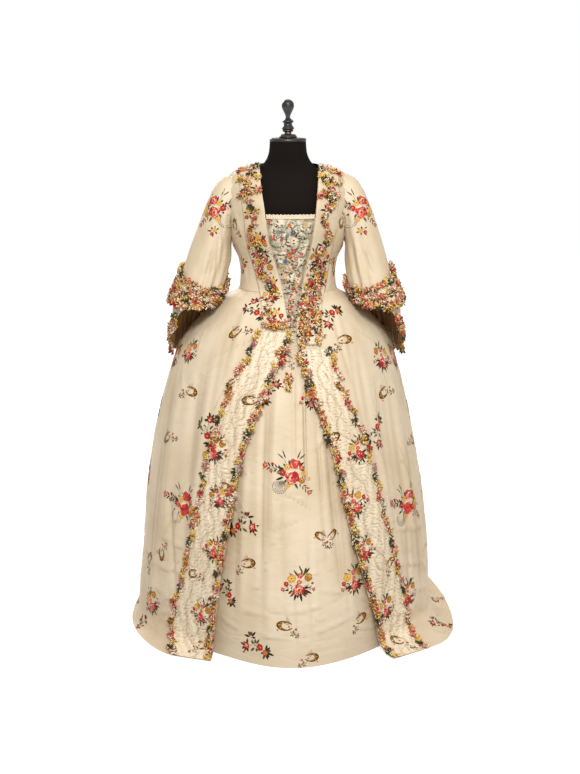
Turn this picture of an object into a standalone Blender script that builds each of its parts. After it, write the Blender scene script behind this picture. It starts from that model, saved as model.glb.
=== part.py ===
"""A robe a la francaise, open over its petticoat and stomacher, on a limbless dress form.

Metres, +Z up. The wearer faces -Y, so L pieces are at -X (the wearer's right) and R pieces at +X.
The stand's pole is the Z axis and its foot rests on z = 0, with the petticoat's hem and the train.
"""
import bisect
import math

import bmesh
import bpy
from mathutils import Vector

# ---------------------------------------------------------------- driving sizes
WALL = 0.002  # every cloth wall
SEAM = 0.0005  # half the gap left at a seam
SIDE_SEAM = 0.0021  # half the gap between the bodice's front and back
WAIST = 1.000
BODICE_LOW = WAIST + 0.001
SHOULDER = 1.356
ARM_X = 0.160  # the armholes are cut by the planes x = +-ARM_X
UNDERARM = 1.138
RIDGE_FROM = 1.235  # the shoulders narrow above this height

# The gown's outer surface: half widths to the left and right, depths ahead of and behind the centre line,
# how far back that centre line lies, and how much flatter than an ellipse the quarters are.
GOWN_COLUMNS = ("z", "left", "right", "front", "back", "centre", "flat")
GOWN = (
    (0.000, 0.456, 0.431, 0.463, 0.390, 0.030, 0.090),
    (0.100, 0.450, 0.425, 0.457, 0.375, 0.030, 0.085),
    (0.280, 0.434, 0.414, 0.427, 0.345, 0.030, 0.076),
    (0.460, 0.417, 0.393, 0.387, 0.310, 0.030, 0.063),
    (0.620, 0.385, 0.361, 0.342, 0.275, 0.030, 0.045),
    (0.740, 0.352, 0.331, 0.302, 0.245, 0.030, 0.027),
    (0.820, 0.324, 0.307, 0.267, 0.220, 0.030, 0.013),
    (0.880, 0.287, 0.279, 0.237, 0.200, 0.030, 0.000),
    (0.930, 0.240, 0.235, 0.207, 0.175, 0.030, 0.000),
    (0.970, 0.200, 0.194, 0.165, 0.150, 0.015, 0.000),
    (1.005, 0.140, 0.140, 0.112, 0.098, 0.000, 0.000),
    (1.050, 0.137, 0.137, 0.111, 0.095, 0.000, 0.000),
    (1.090, 0.142, 0.142, 0.117, 0.095, 0.000, 0.000),
    (1.135, 0.160, 0.160, 0.127, 0.099, 0.000, 0.000),
    (1.180, 0.172, 0.172, 0.137, 0.105, 0.000, 0.000),
    (1.230, 0.176, 0.176, 0.136, 0.109, 0.000, 0.000),
    (1.280, 0.172, 0.172, 0.117, 0.107, 0.000, 0.000),
    (1.310, 0.166, 0.166, 0.094, 0.097, 0.000, 0.000),
    (1.329, 0.160, 0.160, 0.074, 0.082, 0.000, 0.000),
    (1.341, 0.134, 0.134, 0.060, 0.070, 0.000, 0.000),
    (1.351, 0.100, 0.100, 0.052, 0.062, 0.000, 0.000),
    (1.356, 0.080, 0.080, 0.048, 0.058, 0.000, 0.000),
)

# The gown's open front edges, and how far out the gathered bands reach, as distances from x = 0.
EDGE_COLUMNS = ("z", "left", "right", "band_left", "band_right")
EDGE = (
    (0.000, 0.213, 0.262, 0.338, 0.358),
    (0.100, 0.202, 0.244, 0.331, 0.342),
    (0.230, 0.186, 0.210, 0.297, 0.314),
    (0.425, 0.152, 0.159, 0.252, 0.264),
    (0.570, 0.123, 0.125, 0.222, 0.226),
    (0.690, 0.080, 0.083, 0.182, 0.179),
    (0.770, 0.045, 0.054, 0.156, 0.146),
    (0.840, 0.014, 0.033, 0.114, 0.122),
    (0.900, -0.004, 0.025, 0.088, 0.098),
    (0.950, 0.005, 0.028, 0.080, 0.090),
    (1.000, 0.014, 0.038, 0.082, 0.100),
    (1.055, 0.027, 0.048, 0.092, 0.114),
    (1.152, 0.054, 0.068, 0.119, 0.134),
    (1.240, 0.065, 0.079, 0.131, 0.139),
    (1.300, 0.075, 0.084, 0.138, 0.142),
    (1.356, 0.080, 0.087, 0.140, 0.144),
)

# The hem on the floor, from the front edge (u = 0) round to the seam with the sack back (u = 1).
HEM_COLUMNS = ("u", "left_x", "left_y", "right_x", "right_y")
HEM = (
    (0.00, 0.216, -0.374, 0.296, -0.360),
    (0.25, 0.334, -0.326, 0.394, -0.284),
    (0.40, 0.402, -0.242, 0.455, -0.222),
    (0.52, 0.459, -0.100, 0.491, -0.112),
    (0.60, 0.474, 0.010, 0.498, 0.000),
    (0.70, 0.470, 0.140, 0.490, 0.150),
    (0.80, 0.450, 0.310, 0.462, 0.320),
    (0.90, 0.390, 0.520, 0.395, 0.530),
    (1.00, 0.275, 0.700, 0.275, 0.705),
)
TRAIN_END = 0.790

# The sack back: half its width, and how far back its centre hangs.
SACK_COLUMNS = ("z", "half", "centre", "fold")
SACK = (
    (0.000, 0.280, 0.462, 0.026),
    (0.100, 0.275, 0.448, 0.026),
    (0.280, 0.260, 0.412, 0.025),
    (0.460, 0.240, 0.372, 0.024),
    (0.620, 0.220, 0.330, 0.022),
    (0.740, 0.205, 0.292, 0.020),
    (0.820, 0.190, 0.262, 0.018),
    (0.880, 0.170, 0.240, 0.016),
    (0.930, 0.150, 0.215, 0.015),
    (1.000, 0.118, 0.175, 0.013),
    (1.050, 0.114, 0.158, 0.012),
    (1.180, 0.108, 0.130, 0.010),
    (1.280, 0.100, 0.120, 0.008),
    (1.330, 0.088, 0.092, 0.007),
    (1.352, 0.070, 0.071, 0.006),
)

# A sleeve at +X: its outer and its inner line, and half its depth, from the armhole (t = 0) through
# the sleeve's end (t = 1) to the lower edge of its gathered trimming.
ARM_COLUMNS = ("t", "out_x", "out_y", "out_z", "in_x", "in_y", "in_z", "deep")
ARM = (
    (0.00, 0.1615, 0.000, 1.329, 0.1615, 0.000, 1.136, 0.052),
    (0.10, 0.191, 0.000, 1.315, 0.1635, 0.000, 1.127, 0.057),
    (0.25, 0.214, 0.000, 1.284, 0.1640, -0.002, 1.116, 0.060),
    (0.42, 0.235, 0.000, 1.238, 0.1635, -0.006, 1.100, 0.062),
    (0.58, 0.253, 0.000, 1.188, 0.1640, -0.014, 1.082, 0.063),
    (0.74, 0.271, -0.002, 1.138, 0.1690, -0.026, 1.058, 0.062),
    (0.88, 0.287, -0.004, 1.087, 0.1760, -0.040, 1.030, 0.062),
    (1.00, 0.300, -0.006, 1.043, 0.1870, -0.052, 1.000, 0.063),
    (1.10, 0.312, -0.006, 1.012, 0.1950, -0.060, 0.990, 0.066),
    (1.22, 0.325, -0.004, 0.975, 0.2050, -0.066, 0.975, 0.070),
)
ARM_SHIFT = -0.004  # both cuffs hang this far towards -X
ARM_TILT = 0.35  # the cuff's back is this much higher than its front, per metre of depth

# A sleeve flounce, by the angle round the arm (0 outside, 90 behind): how far down it lies under the
# cuff (1 is to the cuff's lower edge), and how it falls from there.
FLOUNCE_COLUMNS = ("angle", "under", "drop", "out", "back")
FLOUNCE = (
    (0, 1.0, 0.182, 0.015, 0.035),
    (45, 1.0, 0.195, 0.038, 0.090),
    (90, 1.0, 0.147, 0.045, 0.108),
    (135, 1.0, 0.030, 0.030, 0.070),
    (180, 0.6, 0.000, 0.000, 0.000),
    (225, 0.8, 0.000, 0.000, 0.000),
    (270, 1.0, 0.012, 0.000, 0.000),
    (315, 1.0, 0.081, 0.002, 0.003),
    (360, 1.0, 0.182, 0.015, 0.035),
)
FLOUNCE_WAVES = 8
FLOUNCE_HANGS = 0.3  # this share of its depth lies under the cuff
CUFF_END = 1.17
CUFF_FRINGE_LIES = 0.0085
FLOUNCE_STEPS = 32
FLOUNCE_FRINGED = (6, 12)  # steps ahead of and behind the outermost one

ROBING_WIDE = 0.066
ROBING_END = {-1: 0.915, 1: 0.868}
ROBING_LIES = 0.0035  # its underside above the bodice
BAND_TOP = {-1: 0.900, 1: 0.855}
BAND_FOLDS = 28
PUCKER_LOW = 0.0014
PUCKER_HIGH = 0.0060
BAND_COLUMNS = (0.034, 0.078, 0.125, 0.172, 0.216)
BAND_FRINGE = {"inner": 0.0135, "outer": 0.2365}
STOMACHER_TOP = 1.214
STOMACHER_POINT = 0.906
STOMACHER_ROWS = (1.214, 1.194, 1.173, 1.152, 1.130, 1.108, 1.086, 1.064, 1.042, 1.024, 1.010, 0.998,
                  0.984, 0.966, 0.946, 0.926, 0.906)
STOMACHER_UNDER = 0.012  # how far it passes under each front edge
STOMACHER_LIES = -0.0040
PUFF_HIGH = 0.0055
FRILL_HIGH = 0.012
FRILL_WAVES = 12

# The dress form's torso.
FORM_COLUMNS = ("z", "wide", "front", "back")
FORM = (
    (0.800, 0.138, 0.095, 0.105),
    (0.880, 0.143, 0.100, 0.110),
    (0.950, 0.132, 0.099, 0.098),
    (1.005, 0.125, 0.0965, 0.084),
    (1.050, 0.126, 0.100, 0.084),
    (1.090, 0.128, 0.106, 0.084),
    (1.135, 0.145, 0.116, 0.088),
    (1.180, 0.150, 0.126, 0.094),
    (1.230, 0.151, 0.125, 0.098),
    (1.280, 0.147, 0.106, 0.096),
    (1.310, 0.140, 0.083, 0.086),
    (1.322, 0.126, 0.068, 0.074),
    (1.332, 0.110, 0.057, 0.065),
    (1.342, 0.090, 0.048, 0.057),
    (1.356, 0.071, 0.0455, 0.0525),
    (1.372, 0.060, 0.0455, 0.0515),
    (1.388, 0.0545, 0.0455, 0.0505),
    (1.404, 0.0525, 0.0450, 0.0500),
    (1.4195, 0.0515, 0.0445, 0.0495),
)
PIECE_GAP = 0.0003
# The cap on the neck: half width, depth ahead, depth behind, z.
NECK_CAP = (
    (0.0515, 0.0440, 0.0490, 1.4198),
    (0.0525, 0.0450, 0.0500, 1.4228),
    (0.0515, 0.0440, 0.0490, 1.4265),
    (0.0480, 0.0405, 0.0455, 1.4285),
)
# Turned pieces: radius, height above the piece's own base.
FINIAL_BASE = ((0.0255, 0.000), (0.0262, 0.003), (0.0245, 0.006), (0.0207, 0.0105))
COLLAR = ((0.0105, 0.000), (0.0098, 0.006))
FINIAL = (
    (0.0125, 0.0000), (0.0158, 0.0025), (0.0150, 0.0055), (0.0180, 0.0100), (0.0150, 0.0150),
    (0.0115, 0.0220), (0.0164, 0.0290), (0.0130, 0.0330), (0.0061, 0.0410), (0.0100, 0.0520),
    (0.0150, 0.0620), (0.0175, 0.0710), (0.0168, 0.0785), (0.0135, 0.0850), (0.0075, 0.0893),
    (0.0025, 0.0905),
)
FOOT = ((0.170, 0.000), (0.170, 0.014), (0.150, 0.022), (0.040, 0.028))
POLE_RADIUS = 0.014

FRINGE_WIDE = 0.008  # the strip that a fringe's locks grow from
FRINGE_THICK = 0.0015
LOCK_LONG = 0.009


# ---------------------------------------------------------------- reading the tables
def smooth(xs, ys, x):
    """A curve through the points (xs, ys), xs rising, that never swings past them."""
    if x <= xs[0]:
        return ys[0]
    if x >= xs[-1]:
        return ys[-1]
    i = bisect.bisect_right(xs, x) - 1
    step = xs[i + 1] - xs[i]

    def slope(k):
        after = (ys[k + 1] - ys[k]) / (xs[k + 1] - xs[k]) if k + 1 < len(xs) else None
        before = (ys[k] - ys[k - 1]) / (xs[k] - xs[k - 1]) if k else None
        if after is None or before is None:
            return before if after is None else after
        return 0.0 if before * after <= 0 else 2 * before * after / (before + after)

    t = (x - xs[i]) / step
    start, end = slope(i) * step, slope(i + 1) * step
    blend = 3 * t * t - 2 * t * t * t
    return ys[i] + blend * (ys[i + 1] - ys[i]) + (t - 2 * t * t + t**3) * start + (t**3 - t * t) * end


def reader(columns, rows):
    """A function (column name, place along the first column) -> value."""
    places = [row[0] for row in rows]
    values = {name: [row[k] for row in rows] for k, name in enumerate(columns)}
    return lambda name, at: smooth(places, values[name], at)


gown = reader(GOWN_COLUMNS, GOWN)
edge_of = reader(EDGE_COLUMNS, EDGE)
hem_of = reader(HEM_COLUMNS, HEM)
sack = reader(SACK_COLUMNS, SACK)
arm = reader(ARM_COLUMNS, ARM)
flounce = reader(FLOUNCE_COLUMNS, FLOUNCE)
form = reader(FORM_COLUMNS, FORM)


def mix(a, b, t):
    return a + (b - a) * t


def spread(first, last, count):
    """Evenly spaced values, both ends included."""
    return [mix(first, last, k / (count - 1)) for k in range(count)]


def bump(x, centre, half):
    """1 at the centre, falling smoothly to 0 at half away."""
    t = min(1.0, abs(x - centre) / half)
    return (1 - t * t) ** 2


def side_name(side):
    return "left" if side < 0 else "right"


# ---------------------------------------------------------------- the gown's surface
def oval(angle, z, inset=0.0):
    """The point at this angle from the centre front (degrees, positive to +X) and this height."""
    s, c = math.sin(math.radians(angle)), math.cos(math.radians(angle))
    drawn_in = 1 - gown("flat", z) * (2 * s * c) ** 2
    wide = gown("left" if s < 0 else "right", z) - inset
    deep = gown("front" if c > 0 else "back", z) - inset
    return Vector((wide * s * drawn_in, gown("centre", z) - deep * c * drawn_in, z))


def angle_of(side, x, z):
    """The angle from the centre front at which the oval is this far from x = 0."""
    share, flat = abs(x) / gown(side_name(side), z), gown("flat", z)
    low, high = 0.0, math.pi / 2
    for _ in range(24):
        middle = (low + high) / 2
        if math.sin(middle) * (1 - flat * math.sin(2 * middle) ** 2) < share:
            low = middle
        else:
            high = middle
    return math.degrees(low)


def depth_at(x, z, behind=False):
    """How far the surface stands before (or behind) its centre line at this x."""
    turn = math.radians(angle_of(x, x, z))
    deep = gown("back" if behind else "front", z)
    return deep * math.cos(turn) * (1 - gown("flat", z) * math.sin(2 * turn) ** 2)


def front_y(x, z):
    return gown("centre", z) - depth_at(x, z)


def back_y(x, z):
    return gown("centre", z) + depth_at(x, z, behind=True)


def ridge(x):
    """The height of the shoulder line at this distance from x = 0."""
    low, high = RIDGE_FROM, SHOULDER
    for _ in range(30):
        middle = (low + high) / 2
        if gown("right", middle) > abs(x):
            low = middle
        else:
            high = middle
    return low


def edge_x(side, z):
    return side * edge_of(side_name(side), z)


# ---------------------------------------------------------------- sheets of cloth
class Panel:
    """Points over a grid of (u, v), with the outward direction at each; other pieces are laid on it."""

    def __init__(self, point, across, down, outward=1, wrap=False):
        self.across, self.down, self.wrap = across, down, wrap
        self.points = [[point(u, v) for u in across] for v in down]
        self.out = [
            [self.direction(i, j) * outward for j in range(len(across))] for i in range(len(down))
        ]

    def direction(self, i, j):
        rows, columns = len(self.down), len(self.across)
        if self.wrap:
            before, after = self.points[i][j - 1], self.points[i][(j + 1) % columns]
        else:
            before, after = self.points[i][max(j - 1, 0)], self.points[i][min(j + 1, columns - 1)]
        above, below = self.points[max(i - 1, 0)][j], self.points[min(i + 1, rows - 1)][j]
        return (after - before).cross(below - above).normalized()

    def lifted(self, lift):
        """The grid moved outwards by lift(i, j)."""
        return [
            [p + self.out[i][j] * lift(i, j) for j, p in enumerate(row)]
            for i, row in enumerate(self.points)
        ]

    def at(self, u, v, lift=0.0):
        """The point on the panel's flat facets at (u, v), moved outwards by lift."""
        i, t = cell(self.down, v)
        j, s = cell(self.across, u)
        a, b = (i, j), (i, j + 1)
        c, d = (i + 1, j + 1), (i + 1, j)
        corners = ((a, 1 - s), (b, s - t), (c, t)) if s >= t else ((a, 1 - t), (c, s), (d, t - s))
        point = sum((self.points[m][n] * w for (m, n), w in corners), Vector())
        out = sum((self.out[m][n] * w for (m, n), w in corners), Vector()).normalized()
        return point + out * lift


def cell(values, at):
    """The cell of a rising list that holds a value, and how far along it the value lies."""
    i = min(max(bisect.bisect_right(values, at) - 1, 0), len(values) - 2)
    return i, (at - values[i]) / (values[i + 1] - values[i])


def quad(a, b, c, d):
    return [(a, b, c), (a, c, d)]


def add_mesh(name, points, faces, material, soft=True):
    """A closed body, its faces turned outwards."""
    mesh = bpy.data.meshes.new(name)
    mesh.from_pydata([tuple(p) for p in points], [], faces)
    shell = bmesh.new()
    shell.from_mesh(mesh)
    bmesh.ops.recalc_face_normals(shell, faces=shell.faces)
    shell.to_mesh(mesh)
    shell.free()
    body = bpy.data.objects.new(name, mesh)
    bpy.context.scene.collection.objects.link(body)
    mesh.materials.append(material)
    for polygon in mesh.polygons:
        polygon.use_smooth = soft
    return body


def add_sheet(name, outer, inner, material, wrap=False):
    """A closed wall between two grids of points. With wrap, the last column joins the first."""
    rows, columns = len(outer), len(outer[0])
    points = [p for grid in (outer, inner) for row in grid for p in row]
    under = rows * columns
    faces = []
    for i in range(rows - 1):
        for j in range(columns if wrap else columns - 1):
            k = (j + 1) % columns
            a, b = i * columns + j, i * columns + k
            c, d = (i + 1) * columns + k, (i + 1) * columns + j
            faces += quad(a, b, c, d)
            faces += [(q + under, p + under, o + under) for o, p, q in quad(a, b, c, d)]
    border = []
    for i in (0, rows - 1):
        line = [i * columns + j for j in range(columns)] + ([i * columns] if wrap else [])
        border.append(line if i else line[::-1])
    if not wrap:
        for j in (0, columns - 1):
            line = [i * columns + j for i in range(rows)]
            border.append(line[::-1] if j else line)
    for line in border:
        for a, b in zip(line, line[1:]):
            faces += quad(b, a, a + under, b + under)
    return add_mesh(name, points, faces, material)


def add_panel(name, panel, material, wall=WALL, lift=0.0, raised=None):
    """A sheet over a panel: its outer side at lift, raised further by raised(i, j), its inner side plain."""
    extra = raised or (lambda i, j: 0.0)
    outer = panel.lifted(lambda i, j: lift + extra(i, j))
    inner = panel.lifted(lambda i, j: lift - wall)
    return add_sheet(name, outer, inner, material, panel.wrap)


def turned(profile, base=0.0):
    """Round rings from (radius, height above the base)."""
    return [(radius, radius, radius, base + height) for radius, height in profile]


def add_rings(name, rings, material, segments):
    """A body through (half width, depth ahead, depth behind, z) rings, with a flat end at each end."""
    points, faces = [], []
    for wide, ahead, behind, z in rings:
        for k in range(segments):
            angle = 2 * math.pi * k / segments
            deep = ahead if math.sin(angle) < 0 else behind
            points.append(Vector((wide * math.cos(angle), deep * math.sin(angle), z)))
    for i in range(len(rings) - 1):
        for k in range(segments):
            n = (k + 1) % segments
            faces += quad(i * segments + k, i * segments + n, (i + 1) * segments + n, (i + 1) * segments + k)
    faces.append(tuple(reversed(range(segments))))
    faces.append(tuple(range((len(rings) - 1) * segments, len(rings) * segments)))
    return add_mesh(name, points, faces, material)


def add_material(name, colour, roughness, metallic=0.0):
    """A plain Principled BSDF; the colour is linear RGB."""
    material = bpy.data.materials.new(name)
    material.use_nodes = True
    shader = material.node_tree.nodes["Principled BSDF"]
    shader.inputs["Base Color"].default_value = (*colour, 1.0)
    shader.inputs["Roughness"].default_value = roughness
    shader.inputs["Metallic"].default_value = metallic
    material.diffuse_color = (*colour, 1.0)
    return material


# ---------------------------------------------------------------- the skirts
WALL_ROWS = (0.998, 0.985, 0.968, 0.940, 0.900, 0.850, 0.780, 0.680, 0.560, 0.430, 0.300, 0.170, 0.075)
SIDE_COLUMNS = (0.0, 0.125, 0.25, 0.33, 0.41, 0.48, 0.54, 0.60, 0.66, 0.72, 0.79, 0.86, 0.93, 1.0)
FLOOR_STEPS = (0.25, 0.5, 0.75, 1.0)
PETTICOAT_SHIFT = 0.016  # how far its middle hangs towards +X
PETTICOAT_DRAWN = 0.016  # how far it draws in beside its middle
PETTICOAT_FOLD = 0.0025
BEND_HIGH = 0.036  # the skirt starts to spread onto the floor at this height
SKIRT_FOLD = 0.007


def seam_angle(side, z):
    """Where the skirt's side meets the sack back."""
    return 180 - angle_of(side, sack("half", z), z)


def skirt_angle(side, u, z):
    front = angle_of(side, edge_of(side_name(side), z), z)
    if edge_x(side, z) * side < 0:
        front = -front
    band = angle_of(side, edge_of("band_" + side_name(side), z), z)
    if u <= 0.25:
        return mix(front, band, u / 0.25)
    return mix(band, seam_angle(side, z), (u - 0.25) / 0.75)


def skirt_fold(u, z):
    """Soft upright folds, deepest at the hem and at the side towards the back."""
    deep = SKIRT_FOLD * (1 - z / WAIST) * min(1.0, max(0.0, (u - 0.3) / 0.3))
    return deep * (math.cos(math.radians(360 * 4.3 * u)) + 0.5 * math.cos(math.radians(360 * 7.1 * u + 50)))


def skirt_wall(side, u, z):
    return oval(side * skirt_angle(side, u, z), z, -skirt_fold(u, z))


def hem_point(side, u):
    name = side_name(side)
    return Vector((side * hem_of(name + "_x", u), hem_of(name + "_y", u), WALL))


def skirt_point(side, u, v):
    """v runs down the wall from 0 at the waist to 1 at the bend, then out over the floor to 2."""
    if v <= 1:
        return skirt_wall(side, u, WALL_ROWS[0] + (BEND_HIGH + WALL - WALL_ROWS[0]) * v)
    start = skirt_wall(side, u, BEND_HIGH + WALL)
    end = hem_point(side, u)
    point = start.lerp(end, v - 1)
    point.z = WALL + BEND_HIGH * (2 - v) ** 3
    return point


def wall_v(z):
    return (WALL_ROWS[0] - z) / (WALL_ROWS[0] - BEND_HIGH - WALL)


def skirt_panel(side):
    rows = [wall_v(z) for z in WALL_ROWS] + [1.0] + [1 + t for t in FLOOR_STEPS]
    return Panel(lambda u, v: skirt_point(side, u, v), SIDE_COLUMNS, rows, outward=-side)


def band_panel(side, skirt):
    """The strip of the skirt panel under the gathered band, with a row for each rise and fall."""
    columns = BAND_COLUMNS
    rows = spread(wall_v(BAND_TOP[side]), 1.97, 2 * BAND_FOLDS + 1)
    panel = Panel(lambda u, v: skirt.at(u, v), columns, rows, outward=-side)
    panel.out = [[(skirt.at(u, v, 1.0) - skirt.at(u, v)) for u in columns] for v in rows]
    return panel


def band_raised(i, j):
    """Puckers on both sides of a gathering line down the middle of the band."""
    last = len(BAND_COLUMNS) - 1
    if j in (0, last):
        return 0.0
    if j == last // 2:
        return PUCKER_LOW
    return PUCKER_HIGH if (i + (j > last // 2)) % 2 else PUCKER_LOW


def petticoat_inset(z):
    return smooth([0.970, 0.985, 0.995], [0.013, 0.0125, 0.0092], z)


def petticoat_point(angle, z):
    """It draws in under the gown's front edges, and its middle hangs a little towards +X."""
    low = 1 - z / WAIST
    ahead = max(0.0, math.cos(math.radians(angle)))
    folds = PETTICOAT_FOLD * math.cos(math.radians(9 * angle + 25)) * low
    drawn_in = PETTICOAT_DRAWN * low * ahead * math.sin(math.radians(2 * angle)) ** 2
    point = oval(angle, z, petticoat_inset(z) + drawn_in - folds)
    point.x += PETTICOAT_SHIFT * low * ahead**2
    return point


# ---------------------------------------------------------------- the sack back
SACK_ROWS = (1.352, 1.335, 1.305, 1.255, 1.190, 1.110, 1.040, 0.995, 0.965, 0.935, 0.890, 0.820, 0.720,
             0.600, 0.450, 0.300, 0.160, 0.080)
SACK_COLUMNS_HALF = (0.06, 0.18, 0.34, 0.50, 0.66, 0.82, 1.0)
SACK_LIES = 0.0088  # above the bodice along its stitched sides
SACK_GAP = 0.0025  # between its edges and the skirt's


def pleats(across, z):
    """Two box pleats, each with a smaller one on it, opening into round folds further down."""
    deep = sack("fold", z)
    return deep * (bump(abs(across), 0.50, 0.44) + 0.45 * bump(abs(across), 0.50, 0.22))


def sack_wall(across, z):
    half = sack("half", z) - SACK_GAP
    lift = SACK_LIES * min(1.0, max(0.0, (z - WAIST + 0.05) / 0.05))
    side_y = back_y(half * (1 if across >= 0 else -1), z) + lift
    y = mix(side_y, sack("centre", z), 1 - abs(across) ** 2.2)
    return Vector((half * across, y + pleats(across, z), z))


def sack_point(across, v):
    if v <= 1:
        return sack_wall(across, SACK_ROWS[0] + (BEND_HIGH + WALL - SACK_ROWS[0]) * v)
    start = sack_wall(across, BEND_HIGH + WALL)
    corner = hem_point(1 if across >= 0 else -1, 1.0)
    corner.x -= math.copysign(SACK_GAP, across)
    end = Vector((corner.x * abs(across), mix(TRAIN_END, corner.y, abs(across) ** 2), WALL))
    point = start.lerp(end, v - 1)
    point.z = WALL + BEND_HIGH * (2 - v) ** 3
    return point


def sack_panel():
    top = SACK_ROWS[0]
    rows = [(top - z) / (top - BEND_HIGH - WALL) for z in SACK_ROWS] + [1.0] + [1 + t for t in FLOOR_STEPS]
    columns = [-u for u in reversed(SACK_COLUMNS_HALF)] + [0.0] + list(SACK_COLUMNS_HALF)
    return Panel(sack_point, columns, rows, outward=1)


# ---------------------------------------------------------------- the bodice
def bodice_round(z):
    """How far out the bodice reaches, and the radius that its points are spaced round."""
    wide = gown("right", z)
    if z <= UNDERARM:
        end = min(ARM_X, wide)
        return end, max(wide, end)
    return ARM_X, max(ARM_X + 0.006, wide)


def bodice_x(side, u, z):
    """From the front edge (u = 0) to the side seam or the armhole (u = 1)."""
    end, radius = bodice_round(z)
    first = math.asin(edge_of(side_name(side), z) / radius)
    return radius * math.sin(mix(first, math.asin(end / radius), u))


def bodice_front(side, u, v):
    """v runs from the waist (0) to the top of the shoulder (1)."""
    rise = math.sin(math.radians(90 * v))
    x = bodice_x(side, u, mix(BODICE_LOW, SHOULDER, rise))
    z = mix(BODICE_LOW, ridge(x), rise)
    return Vector((side * x, front_y(side * x, z) - SIDE_SEAM, z))


def bodice_back(side, u, v):
    """From the side seam (u = 0) to the centre back (u = 1)."""
    rise = math.sin(math.radians(90 * v))
    end, radius = bodice_round(mix(BODICE_LOW, SHOULDER, rise))
    x = min(end, radius * math.sin(math.asin(end / radius) * (1 - u)) + SEAM)
    z = mix(BODICE_LOW, ridge(x), rise)
    return Vector((side * x, back_y(side * x, z) + SIDE_SEAM, z))


def robing_point(side, across, v):
    """v runs from the lower end (0) to the top of the shoulder (1)."""
    low = ROBING_END[side]
    rise = math.sin(math.radians(90 * v))
    nominal = mix(low, SHOULDER, rise)
    inner = edge_of(side_name(side), nominal)
    x = inner + ROBING_WIDE * across * mix(1.0, 0.86, v)
    z = mix(low, ridge(abs(x)), rise)
    return Vector((side * x, front_y(side * x, z) - SEAM, z))


def stomacher_point(across, z):
    under = STOMACHER_UNDER * min(1.0, 0.15 + (z - STOMACHER_POINT) / 0.08)
    left = edge_x(-1, z) - under
    right = edge_x(1, z) + under
    x = mix(left, right, (across + 1) / 2)
    return Vector((x, front_y(x, z), z))


def stomacher_raised(panel):
    """Rows of small gathered puffs that stay clear of the gown's edges."""

    def raised(i, j):
        x, _, z = panel.points[i][j]
        clear = min(x - edge_x(-1, z), edge_x(1, z) - x)
        inside = min(1.0, max(0.0, (clear - 0.003) / 0.012))
        return PUFF_HIGH * inside * (1.0 if i % 2 else 0.35)

    return raised


# ---------------------------------------------------------------- the sleeves
def arm_point(side, angle, t):
    outer = Vector([arm("out_" + axis, t) for axis in "xyz"])
    inner = Vector([arm("in_" + axis, t) for axis in "xyz"])
    middle, reach = (outer + inner) / 2, (outer - inner) / 2
    back = Vector((-reach.y, max(reach.x, 0.015), 0.0)).normalized()
    deep = arm("deep", t)
    c, s = math.cos(math.radians(angle)), math.sin(math.radians(angle))
    point = middle + reach * c + back * deep * s
    point.z += ARM_TILT * deep * s * smooth([0.5, 1.0], [0.0, 1.0], t)
    point.x = point.x * side + ARM_SHIFT * smooth([0.6, 1.0], [0.0, 1.0], t)
    return point


def arm_panel(side, rows, count):
    columns = [360 * k / count for k in range(count)]
    return Panel(lambda a, t: arm_point(side, a, t), columns, rows, outward=-side, wrap=True)


def flounce_point(side, angle, t):
    drop = flounce("drop", angle)
    hangs_from = mix(1.0, FLOUNCE_HANGS, min(1.0, drop / 0.04))
    covered = flounce("under", angle) * min(1.0, t / hangs_from)
    point = arm_point(side, angle, mix(1.008, CUFF_END, covered))
    point.x *= side
    if t > hangs_from:
        free = (t - hangs_from) / (1 - hangs_from)
        aside = free**1.5
        point += Vector((flounce("out", angle) * aside, flounce("back", angle) * aside, -drop * free))
        around = Vector((math.cos(math.radians(angle)), math.sin(math.radians(angle)), 0.0))
        deep = 0.006 * free * min(1.0, drop / 0.12)
        point += around * deep * math.sin(math.radians(FLOUNCE_WAVES * angle))
    point.x *= side
    return point


# ---------------------------------------------------------------- fringes
def add_fringe(name, stations, material, wrap=False):
    """A narrow strip through stations (centre, across, out, lock), with a four-sided lock on each stretch.

    across and out are unit directions, and lock is how the tip leaves the middle of its stretch.
    """
    half, thick = FRINGE_WIDE / 2, FRINGE_THICK
    points, faces = [], []
    for centre, across, out, _ in stations:
        points += [
            centre - across * half + out * thick,
            centre + across * half + out * thick,
            centre + across * half,
            centre - across * half,
        ]
    count = len(stations)
    for i in range(count if wrap else count - 1):
        a, b = 4 * i, 4 * ((i + 1) % count)
        for k in (1, 2, 3):
            n = (k + 1) % 4
            faces += quad(a + k, a + n, b + n, b + k)
        top = (a, a + 1, b + 1, b)
        tip = sum((points[k] for k in top), Vector()) / 4 + stations[i][3]
        points.append(tip)
        faces += [(top[k], top[(k + 1) % 4], len(points) - 1) for k in range(4)]
    if not wrap:
        last = 4 * (count - 1)
        faces += quad(3, 2, 1, 0) + quad(last, last + 1, last + 2, last + 3)
    return add_mesh(name, points, faces, material, soft=False)


def fringe_on(name, panel, path, lift, material, wrap=False):
    """A fringe along (u, v) places on a panel, this far above it."""
    centres = [panel.at(u, v, lift) for u, v in path]
    outs = [(panel.at(u, v, lift + 1.0) - c).normalized() for (u, v), c in zip(path, centres)]
    return add_fringe(name, stations_of(centres, outs, wrap), material, wrap)


def stations_of(centres, outs, wrap=False):
    count = len(centres)
    stations = []
    for i, (centre, out) in enumerate(zip(centres, outs)):
        after = centres[(i + 1) % count] if wrap else centres[min(i + 1, count - 1)]
        before = centres[i - 1] if wrap else centres[max(i - 1, 0)]
        across = (after - before).cross(out).normalized()
        sideways = across * 0.004 * (1 if i % 2 else -1)
        stations.append((centre, across, out, out * LOCK_LONG + sideways + Vector((0, 0, -0.002))))
    return stations


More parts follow.
